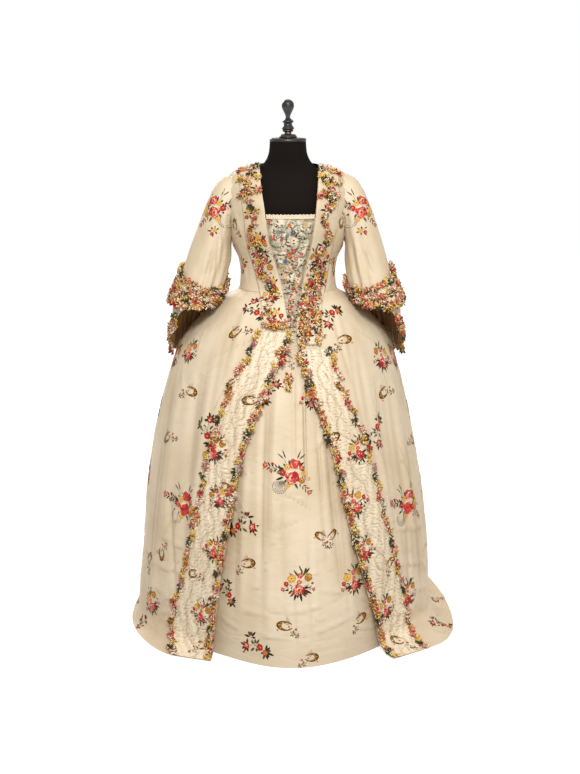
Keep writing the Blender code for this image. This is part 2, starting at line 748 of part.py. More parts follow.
# ---------------------------------------------------------------- building
def build_form(materials):
    cloth, wood, brass = materials["form_cloth"], materials["form_wood"], materials["form_brass"]
    add_rings("form_torso", [(wide, front, back, z) for z, wide, front, back in FORM], cloth, 20)
    add_rings("form_neck_cap", NECK_CAP, wood, 24)
    base = NECK_CAP[-1][-1] + PIECE_GAP
    add_rings("form_finial_base", turned(FINIAL_BASE, base), wood, 20)
    base += FINIAL_BASE[-1][-1] + PIECE_GAP
    add_rings("form_collar", turned(COLLAR, base), brass, 16)
    base += COLLAR[-1][-1] + PIECE_GAP
    add_rings("form_finial", turned(FINIAL, base), wood, 16)
    add_rings("form_foot", turned(FOOT), wood, 28)
    pole = ((POLE_RADIUS, FOOT[-1][-1] + PIECE_GAP), (POLE_RADIUS, FORM[0][0] - PIECE_GAP))
    add_rings("form_pole", turned(pole), wood, 16)


def build_skirts(materials):
    silk, band_silk, thread = materials["gown_silk"], materials["band_silk"], materials["fringe_silk"]
    angles = [-180 + 360 * k / 40 for k in range(40)]
    rows = (0.995, 0.975, 0.945, 0.900, 0.840, 0.760, 0.640, 0.500, 0.340, 0.170, 0.0)
    add_panel("petticoat", Panel(petticoat_point, angles, rows, outward=-1, wrap=True), silk)
    for side, letter in ((-1, "L"), (1, "R")):
        skirt = skirt_panel(side)
        add_panel("skirt_side_" + letter, skirt, silk)
        add_panel("furbelow_" + letter, band_panel(side, skirt), band_silk,
                  wall=0.0018, lift=0.0033, raised=band_raised)
        for line, u in BAND_FRINGE.items():
            path = [(u, v) for v in spread(wall_v(BAND_TOP[side]), 1.965, 30)]
            fringe_on("fringe_skirt_" + line + "_" + letter, skirt, path, 0.0030, thread)
    add_panel("sack_back", sack_panel(), silk)


def build_bodice(materials):
    silk, thread = materials["gown_silk"], materials["fringe_silk"]
    for side, letter in ((-1, "L"), (1, "R")):
        across, up = spread(0, 1, 7), spread(0, 1, 11)
        add_panel("bodice_front_" + letter,
                  Panel(lambda u, v: bodice_front(side, u, v), across, up, outward=side), silk)
        add_panel("bodice_back_" + letter,
                  Panel(lambda u, v: bodice_back(side, u, v), spread(0, 1, 8), up, outward=side), silk)
        robing = Panel(lambda u, v: robing_point(side, u, v), spread(0, 1, 4), spread(0, 1, 15), outward=side)
        add_panel("robing_" + letter, robing, silk, wall=0.0018, lift=ROBING_LIES + 0.0018)
        path = [(0.5 + 0.34 * math.sin(math.radians(360 * 3.2 * v)), v) for v in spread(0.02, 0.94, 25)]
        fringe_on("fringe_robing_" + letter, robing, path, ROBING_LIES + 0.0018 + 0.0022, thread)


def build_stomacher(materials):
    brocade, thread = materials["stomacher_silk"], materials["fringe_silk"]
    panel = Panel(stomacher_point, spread(-1, 1, 8), STOMACHER_ROWS, outward=-1)
    add_panel("stomacher", panel, brocade, lift=STOMACHER_LIES, raised=stomacher_raised(panel))

    def frill_point(across, v):
        z = STOMACHER_TOP + 2 * PIECE_GAP + FRILL_HIGH * v
        x = mix(edge_x(-1, z) + 0.004, edge_x(1, z) - 0.004, (across + 1) / 2)
        lean = v * (0.002 + 0.0015 * math.cos(math.radians(180 * FRILL_WAVES * (across + 1))))
        return Vector((x, front_y(x, z) - lean, z))

    frill = Panel(frill_point, spread(-1, 1, 25), [0.0, 1.0], outward=1)
    add_panel("stomacher_frill", frill, thread, wall=0.0015, lift=STOMACHER_LIES)


def build_sleeves(materials):
    silk, band_silk, thread = materials["gown_silk"], materials["band_silk"], materials["fringe_silk"]
    for side, letter in ((-1, "L"), (1, "R")):
        add_panel("sleeve_" + letter,
                  arm_panel(side, [0, 0.05, 0.12, 0.25, 0.42, 0.58, 0.74, 0.88, 1.0], 18), silk)
        trim = arm_panel(side, [0.955, 1.03, 1.10, CUFF_END], 32)
        ruched = (lambda i, j: 0.0 if i in (0, 3) else 0.005 * ((i + j) % 2))
        add_panel("cuff_" + letter, trim, band_silk, wall=0.0018, lift=0.0050, raised=ruched)
        for line, t, count in (("top", 0.93, 10), ("bottom", 1.207, 12)):
            ring = arm_panel(side, [t - 0.02, t + 0.02], count)
            outs = ring.out[0]
            middles = [high.lerp(low, 0.5) for high, low in zip(*ring.points)]
            centres = [middle + out * CUFF_FRINGE_LIES for middle, out in zip(middles, outs)]
            add_fringe("fringe_cuff_" + line + "_" + letter, stations_of(centres, outs, True), thread, True)
        round_arm = [360 * k / FLOUNCE_STEPS for k in range(FLOUNCE_STEPS)]
        fall = Panel(lambda a, t: flounce_point(side, a, t), round_arm, [0, FLOUNCE_HANGS, 0.55, 0.78, 1.0],
                     outward=-side, wrap=True)
        add_panel("sleeve_flounce_" + letter, fall, silk, wall=0.0016)
        build_flounce_fringe(side, letter, fall, thread)


def build_flounce_fringe(side, letter, fall, thread):
    """Round the outside of the flounce's lower edge, wherever that edge falls below the cuff."""
    last = len(fall.down) - 1
    turns = range(-FLOUNCE_FRINGED[0], FLOUNCE_FRINGED[1] + 1)
    outs = [fall.out[last][k] for k in turns]
    centres = [fall.points[last][k] + out * 0.0026 for k, out in zip(turns, outs)]
    add_fringe("fringe_flounce_" + letter, stations_of(centres, outs), thread)


def main():
    for old in list(bpy.data.objects):
        bpy.data.objects.remove(old, do_unlink=True)
    materials = {
        "gown_silk": add_material("gown_silk", (0.78, 0.66, 0.47), 0.55),
        "band_silk": add_material("band_silk", (0.76, 0.63, 0.44), 0.6),
        "stomacher_silk": add_material("stomacher_silk", (0.56, 0.50, 0.40), 0.6),
        "fringe_silk": add_material("fringe_silk", (0.55, 0.26, 0.13), 0.7),
        "form_cloth": add_material("form_cloth", (0.012, 0.011, 0.010), 0.85),
        "form_wood": add_material("form_wood", (0.015, 0.013, 0.012), 0.35),
        "form_brass": add_material("form_brass", (0.50, 0.33, 0.20), 0.4, 1.0),
    }
    build_form(materials)
    build_skirts(materials)
    build_bodice(materials)
    build_stomacher(materials)
    build_sleeves(materials)


main()
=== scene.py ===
# %% [markdown]
# # A robe a la francaise on its dress form
#
# The gown is one layer of ribbed cream silk with flower sprays brocaded in floss silk. It is built the way a
# maker would cut it: two skirt sides, a pleated sack back, bodice fronts and backs, robings, gathered bands,
# stomacher, sleeves with a gathered cuff and a flounce, and the petticoat under them. Every piece is a grid
# of points over the part's own surfaces, so it keeps the part's sizes, and is then given its creases and
# puckers.

import bisect
import math
from functools import lru_cache, partial

import bpy
import numpy as np
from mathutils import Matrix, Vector


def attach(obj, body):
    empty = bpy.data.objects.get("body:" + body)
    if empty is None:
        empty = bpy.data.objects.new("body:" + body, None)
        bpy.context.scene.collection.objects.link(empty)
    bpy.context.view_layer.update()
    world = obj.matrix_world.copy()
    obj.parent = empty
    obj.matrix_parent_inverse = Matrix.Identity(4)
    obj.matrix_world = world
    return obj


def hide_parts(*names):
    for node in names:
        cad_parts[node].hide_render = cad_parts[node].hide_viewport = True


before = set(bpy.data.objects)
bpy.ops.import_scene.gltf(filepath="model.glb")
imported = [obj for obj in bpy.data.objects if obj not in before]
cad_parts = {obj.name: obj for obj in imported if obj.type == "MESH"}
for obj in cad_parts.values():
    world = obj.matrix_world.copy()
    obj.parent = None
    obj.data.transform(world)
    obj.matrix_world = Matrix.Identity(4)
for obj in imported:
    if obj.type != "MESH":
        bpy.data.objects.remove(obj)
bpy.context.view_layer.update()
chance = np.random.default_rng(1760)
print(len(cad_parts), "parts in the frame")

# %% [markdown]
# ## The sizes
#
# Metres, +Z up, the wearer facing -Y. The tables hold half widths, depths and heights at named levels.

# %% Driving sizes
WALL = 0.002  # every cloth wall
SEAM = 0.0005  # half the gap left at a seam
SIDE_SEAM = 0.0021  # half the gap between the bodice's front and back
WAIST = 1.000
BODICE_LOW = WAIST + 0.001
SHOULDER = 1.356
ARM_X = 0.160  # the armholes are cut by the planes x = +-ARM_X
UNDERARM = 1.138
RIDGE_FROM = 1.235  # the shoulders narrow above this height
TRAIN_END = 0.790
ARM_SHIFT = -0.004  # both cuffs hang this far towards -X
ARM_TILT = 0.35  # the cuff's back is this much higher than its front, per metre of depth
FLOUNCE_WAVES = 8
FLOUNCE_HANGS = 0.3  # this share of its depth lies under the cuff
CUFF_END = 1.17
ROBING_WIDE = 0.066
ROBING_END = {-1: 0.915, 1: 0.868}
ROBING_LIES = 0.0035  # its underside above the bodice
BAND_TOP = {-1: 0.900, 1: 0.855}
BAND_SHARE = 0.25  # the band's outer edge lies at this share of the skirt side's width
BAND_WIDE = 0.086
BAND_SPAN = (0.020, 0.230)  # its two edges, as shares of the skirt side's width
BAND_FRINGE = {"inner": 0.0135, "outer": 0.2365}
STOMACHER_TOP = 1.214
STOMACHER_POINT = 0.906
STOMACHER_UNDER = 0.012  # how far it passes under each front edge
STOMACHER_LIES = -0.0040
FRILL_HIGH = 0.012
PIECE_GAP = 0.0003
PETTICOAT_SHIFT = 0.016  # how far its middle hangs towards +X
PETTICOAT_DRAWN = 0.016  # how far it draws in beside its middle
PETTICOAT_FOLD = 0.0025
BEND_HIGH = 0.036  # the skirt starts to spread onto the floor at this height
SKIRT_FOLD = 0.007
SACK_LIES = 0.0088  # above the bodice along its stitched sides
SACK_GAP = 0.0025  # between its edges and the skirt's
FLOOR_CLEAR = 0.0003  # no point of the cloth or fringe lies lower than this

GOWN_COLUMNS = ("z", "left", "right", "front", "back", "centre", "flat")
GOWN = (
    (0.000, 0.456, 0.431, 0.463, 0.390, 0.030, 0.090),
    (0.100, 0.450, 0.425, 0.457, 0.375, 0.030, 0.085),
    (0.280, 0.434, 0.414, 0.427, 0.345, 0.030, 0.076),
    (0.460, 0.417, 0.393, 0.387, 0.310, 0.030, 0.063),
    (0.620, 0.385, 0.361, 0.342, 0.275, 0.030, 0.045),
    (0.740, 0.352, 0.331, 0.302, 0.245, 0.030, 0.027),
    (0.820, 0.324, 0.307, 0.267, 0.220, 0.030, 0.013),
    (0.880, 0.287, 0.279, 0.237, 0.200, 0.030, 0.000),
    (0.930, 0.240, 0.235, 0.207, 0.175, 0.030, 0.000),
    (0.970, 0.200, 0.194, 0.165, 0.150, 0.015, 0.000),
    (1.005, 0.140, 0.140, 0.112, 0.098, 0.000, 0.000),
    (1.050, 0.137, 0.137, 0.111, 0.095, 0.000, 0.000),
    (1.090, 0.142, 0.142, 0.117, 0.095, 0.000, 0.000),
    (1.135, 0.160, 0.160, 0.127, 0.099, 0.000, 0.000),
    (1.180, 0.172, 0.172, 0.137, 0.105, 0.000, 0.000),
    (1.230, 0.176, 0.176, 0.136, 0.109, 0.000, 0.000),
    (1.280, 0.172, 0.172, 0.117, 0.107, 0.000, 0.000),
    (1.310, 0.166, 0.166, 0.094, 0.097, 0.000, 0.000),
    (1.329, 0.160, 0.160, 0.074, 0.082, 0.000, 0.000),
    (1.341, 0.134, 0.134, 0.060, 0.070, 0.000, 0.000),
    (1.351, 0.100, 0.100, 0.052, 0.062, 0.000, 0.000),
    (1.356, 0.080, 0.080, 0.048, 0.058, 0.000, 0.000),
)
EDGE_COLUMNS = ("z", "left", "right", "band_left", "band_right")
EDGE = (
    (0.000, 0.213, 0.262, 0.338, 0.358),
    (0.100, 0.202, 0.244, 0.331, 0.342),
    (0.230, 0.186, 0.210, 0.297, 0.314),
    (0.425, 0.152, 0.159, 0.252, 0.264),
    (0.570, 0.123, 0.125, 0.222, 0.226),
    (0.690, 0.080, 0.083, 0.182, 0.179),
    (0.770, 0.045, 0.054, 0.156, 0.146),
    (0.840, 0.014, 0.033, 0.114, 0.122),
    (0.900, -0.004, 0.025, 0.088, 0.098),
    (0.950, 0.005, 0.028, 0.080, 0.090),
    (1.000, 0.014, 0.038, 0.082, 0.100),
    (1.055, 0.027, 0.048, 0.092, 0.114),
    (1.152, 0.054, 0.068, 0.119, 0.134),
    (1.240, 0.065, 0.079, 0.131, 0.139),
    (1.300, 0.075, 0.084, 0.138, 0.142),
    (1.356, 0.080, 0.087, 0.140, 0.144),
)
HEM_COLUMNS = ("u", "left_x", "left_y", "right_x", "right_y")
HEM = (
    (0.00, 0.216, -0.374, 0.296, -0.360),
    (0.25, 0.334, -0.326, 0.394, -0.284),
    (0.40, 0.402, -0.242, 0.455, -0.222),
    (0.52, 0.459, -0.100, 0.491, -0.112),
    (0.60, 0.474, 0.010, 0.498, 0.000),
    (0.70, 0.470, 0.140, 0.490, 0.150),
    (0.80, 0.450, 0.310, 0.462, 0.320),
    (0.90, 0.390, 0.520, 0.395, 0.530),
    (1.00, 0.275, 0.700, 0.275, 0.705),
)
SACK_COLUMNS = ("z", "half", "centre", "fold")
SACK = (
    (0.000, 0.280, 0.462, 0.026),
    (0.100, 0.275, 0.448, 0.026),
    (0.280, 0.260, 0.412, 0.025),
    (0.460, 0.240, 0.372, 0.024),
    (0.620, 0.220, 0.330, 0.022),
    (0.740, 0.205, 0.292, 0.020),
    (0.820, 0.190, 0.262, 0.018),
    (0.880, 0.170, 0.240, 0.016),
    (0.930, 0.150, 0.215, 0.015),
    (1.000, 0.118, 0.175, 0.013),
    (1.050, 0.114, 0.158, 0.012),
    (1.180, 0.108, 0.130, 0.010),
    (1.280, 0.100, 0.120, 0.008),
    (1.330, 0.088, 0.092, 0.007),
    (1.352, 0.070, 0.071, 0.006),
)
ARM_COLUMNS = ("t", "out_x", "out_y", "out_z", "in_x", "in_y", "in_z", "deep")
ARM = (
    (0.00, 0.1615, 0.000, 1.329, 0.1615, 0.000, 1.136, 0.052),
    (0.10, 0.191, 0.000, 1.315, 0.1635, 0.000, 1.127, 0.057),
    (0.25, 0.214, 0.000, 1.284, 0.1640, -0.002, 1.116, 0.060),
    (0.42, 0.235, 0.000, 1.238, 0.1635, -0.006, 1.100, 0.062),
    (0.58, 0.253, 0.000, 1.188, 0.1640, -0.014, 1.082, 0.063),
    (0.74, 0.271, -0.002, 1.138, 0.1690, -0.026, 1.058, 0.062),
    (0.88, 0.287, -0.004, 1.087, 0.1760, -0.040, 1.030, 0.062),
    (1.00, 0.300, -0.006, 1.043, 0.1870, -0.052, 1.000, 0.063),
    (1.10, 0.312, -0.006, 1.012, 0.1950, -0.060, 0.990, 0.066),
    (1.22, 0.325, -0.004, 0.975, 0.2050, -0.066, 0.975, 0.070),
)
FLOUNCE_COLUMNS = ("angle", "under", "drop", "out", "back")
FLOUNCE = (
    (0, 1.0, 0.182, 0.015, 0.035),
    (45, 1.0, 0.195, 0.038, 0.090),
    (90, 1.0, 0.147, 0.045, 0.108),
    (135, 1.0, 0.030, 0.030, 0.070),
    (180, 0.6, 0.000, 0.000, 0.000),
    (225, 0.8, 0.000, 0.000, 0.000),
    (270, 1.0, 0.012, 0.000, 0.000),
    (315, 1.0, 0.081, 0.002, 0.003),
    (360, 1.0, 0.182, 0.015, 0.035),
)
FORM = (  # z, half width, depth ahead, depth behind
    (0.800, 0.138, 0.095, 0.105),
    (0.880, 0.143, 0.100, 0.110),
    (0.950, 0.132, 0.099, 0.098),
    (1.005, 0.125, 0.0965, 0.084),
    (1.050, 0.126, 0.100, 0.084),
    (1.090, 0.128, 0.106, 0.084),
    (1.135, 0.145, 0.116, 0.088),
    (1.180, 0.150, 0.126, 0.094),
    (1.230, 0.151, 0.125, 0.098),
    (1.280, 0.147, 0.106, 0.096),
    (1.310, 0.140, 0.083, 0.086),
    (1.322, 0.126, 0.068, 0.074),
    (1.332, 0.110, 0.057, 0.065),
    (1.342, 0.090, 0.048, 0.057),
    (1.356, 0.071, 0.0455, 0.0525),
    (1.372, 0.060, 0.0455, 0.0515),
    (1.388, 0.0545, 0.0455, 0.0505),
    (1.404, 0.0525, 0.0450, 0.0500),
    (1.4195, 0.0515, 0.0445, 0.0495),
)
NECK_CAP = (
    (0.0515, 0.0440, 0.0490, 1.4198),
    (0.0525, 0.0450, 0.0500, 1.4228),
    (0.0515, 0.0440, 0.0490, 1.4265),
    (0.0480, 0.0405, 0.0455, 1.4285),
)
FINIAL_BASE = ((0.0255, 0.000), (0.0262, 0.003), (0.0245, 0.006), (0.0207, 0.0105))
COLLAR = ((0.0105, 0.000), (0.0098, 0.006))
FINIAL = (
    (0.0125, 0.0000), (0.0158, 0.0025), (0.0150, 0.0055), (0.0180, 0.0100), (0.0150, 0.0150),
    (0.0115, 0.0220), (0.0164, 0.0290), (0.0130, 0.0330), (0.0061, 0.0410), (0.0100, 0.0520),
    (0.0150, 0.0620), (0.0175, 0.0710), (0.0168, 0.0785), (0.0135, 0.0850), (0.0075, 0.0893),
    (0.0025, 0.0905),
)

# %% [markdown]
# ## Reading the tables
#
# Straight lines between the measured levels would leave a ring of corners in the cloth, and a plain spline
# would swing past a measured size, so each column is read with a cubic that never does.

# %% Reading the tables
def smooth(xs, ys, x):
    """A curve through the points (xs, ys), xs rising, that never swings past them."""
    if x <= xs[0]:
        return ys[0]
    if x >= xs[-1]:
        return ys[-1]
    i = bisect.bisect_right(xs, x) - 1
    step = xs[i + 1] - xs[i]

    def slope(k):
        after = (ys[k + 1] - ys[k]) / (xs[k + 1] - xs[k]) if k + 1 < len(xs) else None
        before = (ys[k] - ys[k - 1]) / (xs[k] - xs[k - 1]) if k else None
        if after is None or before is None:
            return before if after is None else after
        return 0.0 if before * after <= 0 else 2 * before * after / (before + after)

    t = (x - xs[i]) / step
    start, end = slope(i) * step, slope(i + 1) * step
    blend = 3 * t * t - 2 * t * t * t
    return ys[i] + blend * (ys[i + 1] - ys[i]) + (t - 2 * t * t + t**3) * start + (t**3 - t * t) * end


def reader(columns, rows):
    """A function (column name, place along the first column) -> value."""
    places = [row[0] for row in rows]
    values = {name: [row[k] for row in rows] for k, name in enumerate(columns)}
    return lru_cache(None)(lambda name, at: smooth(places, values[name], at))


gown = reader(GOWN_COLUMNS, GOWN)
edge_of = reader(EDGE_COLUMNS, EDGE)
hem_of = reader(HEM_COLUMNS, HEM)
sack = reader(SACK_COLUMNS, SACK)
arm = reader(ARM_COLUMNS, ARM)
flounce = reader(FLOUNCE_COLUMNS, FLOUNCE)
print("waist", 2 * gown("left", WAIST), "m across, hem", gown("left", 0) + gown("right", 0))

# %% [markdown]
# ## The gown's surfaces
#
# A gown like this hangs on hoops at the hips and on the body above, so every piece follows one form. Cloth
# could be shrunk onto a model of it, but then pieces meet at random. Here the form is a stack of ovals given
# by a formula, and every piece is read off it at its own distance, so that one lies on the next as cloth
# does.

# %% The oval and the shoulder
def mix(a, b, t):
    return a + (b - a) * t


def held(x):
    """x kept between 0 and 1."""
    return min(1.0, max(0.0, x))


def cosd(angle):
    return math.cos(math.radians(angle))


def sind(angle):
    return math.sin(math.radians(angle))


def bump(x, centre, half):
    """1 at the centre, falling smoothly to 0 at half away."""
    t = min(1.0, abs(x - centre) / half)
    return (1 - t * t) ** 2


def side_name(side):
    return "left" if side < 0 else "right"


def oval(angle, z, inset=0.0):
    """The point at this angle from the centre front (degrees, positive to +X) and this height."""
    s, c = sind(angle), cosd(angle)
    drawn_in = 1 - gown("flat", z) * (2 * s * c) ** 2
    wide = gown("left" if s < 0 else "right", z) - inset
    deep = gown("front" if c > 0 else "back", z) - inset
    return Vector((wide * s * drawn_in, gown("centre", z) - deep * c * drawn_in, z))


@lru_cache(None)
def angle_of(side, x, z):
    """The angle from the centre front at which the oval is this far from x = 0."""
    share, flat = abs(x) / gown(side_name(side), z), gown("flat", z)
    low, high = 0.0, math.pi / 2
    for _ in range(24):
        middle = (low + high) / 2
        if math.sin(middle) * (1 - flat * math.sin(2 * middle) ** 2) < share:
            low = middle
        else:
            high = middle
    return math.degrees(low)


def depth_at(x, z, behind=False):
    """How far the surface stands before (or behind) its centre line at this x."""
    turn = math.radians(angle_of(x, x, z))
    deep = gown("back" if behind else "front", z)
    return deep * math.cos(turn) * (1 - gown("flat", z) * math.sin(2 * turn) ** 2)


def front_y(x, z):
    return gown("centre", z) - depth_at(x, z)


def back_y(x, z):
    return gown("centre", z) + depth_at(x, z, behind=True)


@lru_cache(None)
def ridge(x):
    """The height of the shoulder line at this distance from x = 0."""
    low, high = RIDGE_FROM, SHOULDER
    for _ in range(30):
        middle = (low + high) / 2
        if gown("right", middle) > abs(x):
            low = middle
        else:
            high = middle
    return low


def edge_x(side, z):
    """The x of the gown's front edge at height z."""
    return side * edge_of(side_name(side), z)


print("shoulder line", round(ridge(0.1), 3), "m high at 0.1 m from the middle")

# %% The skirts and the petticoat
WAIST_ROW = 0.998  # where the skirts' cloth starts
WALL_DROP = WAIST_ROW - BEND_HIGH - WALL


def seam_angle(side, z):
    """Where the skirt's side meets the sack back."""
    return 180 - angle_of(side, sack("half", z), z)


def skirt_angle(side, u, z):
    front = angle_of(side, edge_of(side_name(side), z), z)
    if edge_x(side, z) * side < 0:
        front = -front
    band = angle_of(side, edge_of("band_" + side_name(side), z), z)
    if u <= BAND_SHARE:
        return mix(front, band, u / BAND_SHARE)
    return mix(band, seam_angle(side, z), (u - BAND_SHARE) / (1 - BAND_SHARE))


def skirt_fold(u, z):
    """Soft upright folds, deepest at the hem and at the side towards the back."""
    deep = SKIRT_FOLD * (1 - z / WAIST) * held((u - 0.3) / 0.3)
    return deep * (cosd(360 * 4.3 * u) + 0.5 * cosd(360 * 7.1 * u + 50))


def skirt_wall(side, u, z):
    return oval(side * skirt_angle(side, u, z), z, -skirt_fold(u, z))


def hem_point(side, u):
    name = side_name(side)
    return Vector((side * hem_of(name + "_x", u), hem_of(name + "_y", u), WALL))


def skirt_point(side, u, v):
    """v runs down the wall from 0 at the waist to 1 at the bend, then out over the floor to 2."""
    if v <= 1:
        return skirt_wall(side, u, WAIST_ROW + (BEND_HIGH + WALL - WAIST_ROW) * v)
    start = skirt_wall(side, u, BEND_HIGH + WALL)
    end = hem_point(side, u)
    point = start.lerp(end, v - 1)
    point.z = WALL + BEND_HIGH * (2 - v) ** 3
    return point


def wall_v(z):
    """The v of a skirt at height z."""
    return (WAIST_ROW - z) / WALL_DROP


def petticoat_inset(z):
    return smooth([0.97, 0.985, 0.995], [0.013, 0.0125, 0.0092], z)


def petticoat_point(angle, z):
    """It draws in under the gown's front edges, and its middle hangs a little towards +X."""
    low = 1 - z / WAIST
    ahead = max(0.0, cosd(angle))
    folds = PETTICOAT_FOLD * cosd(9 * angle + 25) * low
    drawn_in = PETTICOAT_DRAWN * low * ahead * sind(2 * angle) ** 2
    point = oval(angle, z, petticoat_inset(z) + drawn_in - folds)
    point.x += PETTICOAT_SHIFT * low * ahead**2
    return point


print("skirts drop", round(WALL_DROP, 3), "m before they turn out onto the floor")

# %% The sack back's surface
SACK_TOP = 1.352
SACK_DROP = SACK_TOP - BEND_HIGH - WALL


def pleats(across, z):
    """Two box pleats, each with a smaller one on it, opening into round folds further down."""
    deep = sack("fold", z)
    return deep * (bump(abs(across), 0.5, 0.44) + 0.45 * bump(abs(across), 0.5, 0.22))


def sack_wall(across, z):
    half = sack("half", z) - SACK_GAP
    lift = SACK_LIES * held((z - WAIST + 0.05) / 0.05)
    side_y = back_y(half * (1 if across >= 0 else -1), z) + lift
    y = mix(side_y, sack("centre", z), 1 - abs(across) ** 2.2)
    return Vector((half * across, y + pleats(across, z), z))


def sack_point(across, v):
    if v <= 1:
        return sack_wall(across, SACK_TOP - SACK_DROP * v)
    start = sack_wall(across, BEND_HIGH + WALL)
    corner = hem_point(1 if across >= 0 else -1, 1.0)
    corner.x -= math.copysign(SACK_GAP, across)
    end = Vector((corner.x * abs(across), mix(TRAIN_END, corner.y, abs(across) ** 2), WALL))
    point = start.lerp(end, v - 1)
    point.z = WALL + BEND_HIGH * (2 - v) ** 3
    return point


print("train ends", round(sack_point(0, 2).y, 3), "m behind the pole")

# %% The bodice's, robings' and stomacher's surfaces
def bodice_round(z):
    """How far out the bodice reaches, and the radius that its points are spaced round."""
    wide = gown("right", z)
    if z <= UNDERARM:
        end = min(ARM_X, wide)
        return end, max(wide, end)
    return ARM_X, max(ARM_X + 0.006, wide)


def bodice_x(side, u, z):
    """From the front edge (u = 0) to the side seam or the armhole (u = 1)."""
    end, radius = bodice_round(z)
    first = math.asin(edge_of(side_name(side), z) / radius)
    return radius * math.sin(mix(first, math.asin(end / radius), u))


def bodice_front(side, u, v):
    """v runs from the waist (0) to the top of the shoulder (1)."""
    rise = sind(90 * v)
    x = bodice_x(side, u, mix(BODICE_LOW, SHOULDER, rise))
    z = mix(BODICE_LOW, ridge(x), rise)
    return Vector((side * x, front_y(side * x, z) - SIDE_SEAM, z))


def bodice_back(side, u, v):
    """From the side seam (u = 0) to the centre back (u = 1)."""
    rise = sind(90 * v)
    end, radius = bodice_round(mix(BODICE_LOW, SHOULDER, rise))
    x = min(end, radius * math.sin(math.asin(end / radius) * (1 - u)) + SEAM)
    z = mix(BODICE_LOW, ridge(x), rise)
    return Vector((side * x, back_y(side * x, z) + SIDE_SEAM, z))


def robing_point(side, across, v):
    """v runs from the lower end (0) to the top of the shoulder (1)."""
    low = ROBING_END[side]
    rise = sind(90 * v)
    nominal = mix(low, SHOULDER, rise)
    inner = edge_of(side_name(side), nominal)
    x = inner + ROBING_WIDE * across * mix(1.0, 0.86, v)
    z = mix(low, ridge(abs(x)), rise)
    return Vector((side * x, front_y(side * x, z) - SEAM, z))


def stomacher_point(across, z):
    under = STOMACHER_UNDER * min(1.0, 0.15 + (z - STOMACHER_POINT) / 0.08)
    left = edge_x(-1, z) - under
    right = edge_x(1, z) + under
    x = mix(left, right, (across + 1) / 2)
    return Vector((x, front_y(x, z), z))


print("stomacher", round(edge_x(1, STOMACHER_TOP) - edge_x(-1, STOMACHER_TOP), 3), "m across at its top")

# %% The sleeves' and flounces' surfaces
def arm_point(side, angle, t):
    outer = Vector([arm("out_" + axis, t) for axis in "xyz"])
    inner = Vector([arm("in_" + axis, t) for axis in "xyz"])
    middle, reach = (outer + inner) / 2, (outer - inner) / 2
    back = Vector((-reach.y, max(reach.x, 0.015), 0.0)).normalized()
    deep = arm("deep", t)
    c, s = cosd(angle), sind(angle)
    point = middle + reach * c + back * deep * s
    point.z += ARM_TILT * deep * s * smooth([0.5, 1.0], [0.0, 1.0], t)
    point.x = point.x * side + ARM_SHIFT * smooth([0.6, 1.0], [0.0, 1.0], t)
    return point


def flounce_point(side, angle, t):
    drop = flounce("drop", angle)
    hangs_from = mix(1.0, FLOUNCE_HANGS, min(1.0, drop / 0.04))
    covered = flounce("under", angle) * min(1.0, t / hangs_from)
    point = arm_point(side, angle, mix(1.008, CUFF_END, covered))
    point.x *= side
    if t > hangs_from:
        free = (t - hangs_from) / (1 - hangs_from)
        aside = free**1.5
        point += Vector((flounce("out", angle) * aside, flounce("back", angle) * aside, -drop * free))
        around = Vector((cosd(angle), sind(angle), 0.0))
        deep = 0.006 * free * min(1.0, drop / 0.12)
        point += around * deep * sind(FLOUNCE_WAVES * angle)
    point.x *= side
    return point


print("sleeve", round((arm_point(1, 0, 0.5) - arm_point(1, 180, 0.5)).length, 3), "m through at its middle")

# %% [markdown]
# ## Cloth as a grid
#
# Hung silk could be draped by simulation, but this gown's fall is settled by its cut, hoops and pleats, and
# a simulation would let go of it. So `Cloth` keeps a grid of points on a surface, the outward direction at
# each, and can say where any (u, v) lies. Puckers swell the grid, creases press soft troughs and ridges in
# it, and trimmings are laid on it afterwards, so they follow every fold.

# %% Grids of cloth
def spaced(first, last, count):
    """Evenly spaced values, both ends included."""
    return list(np.linspace(first, last, count))


def ramp(x):
    """Every value kept between 0 and 1."""
    return np.clip(x, 0, 1)


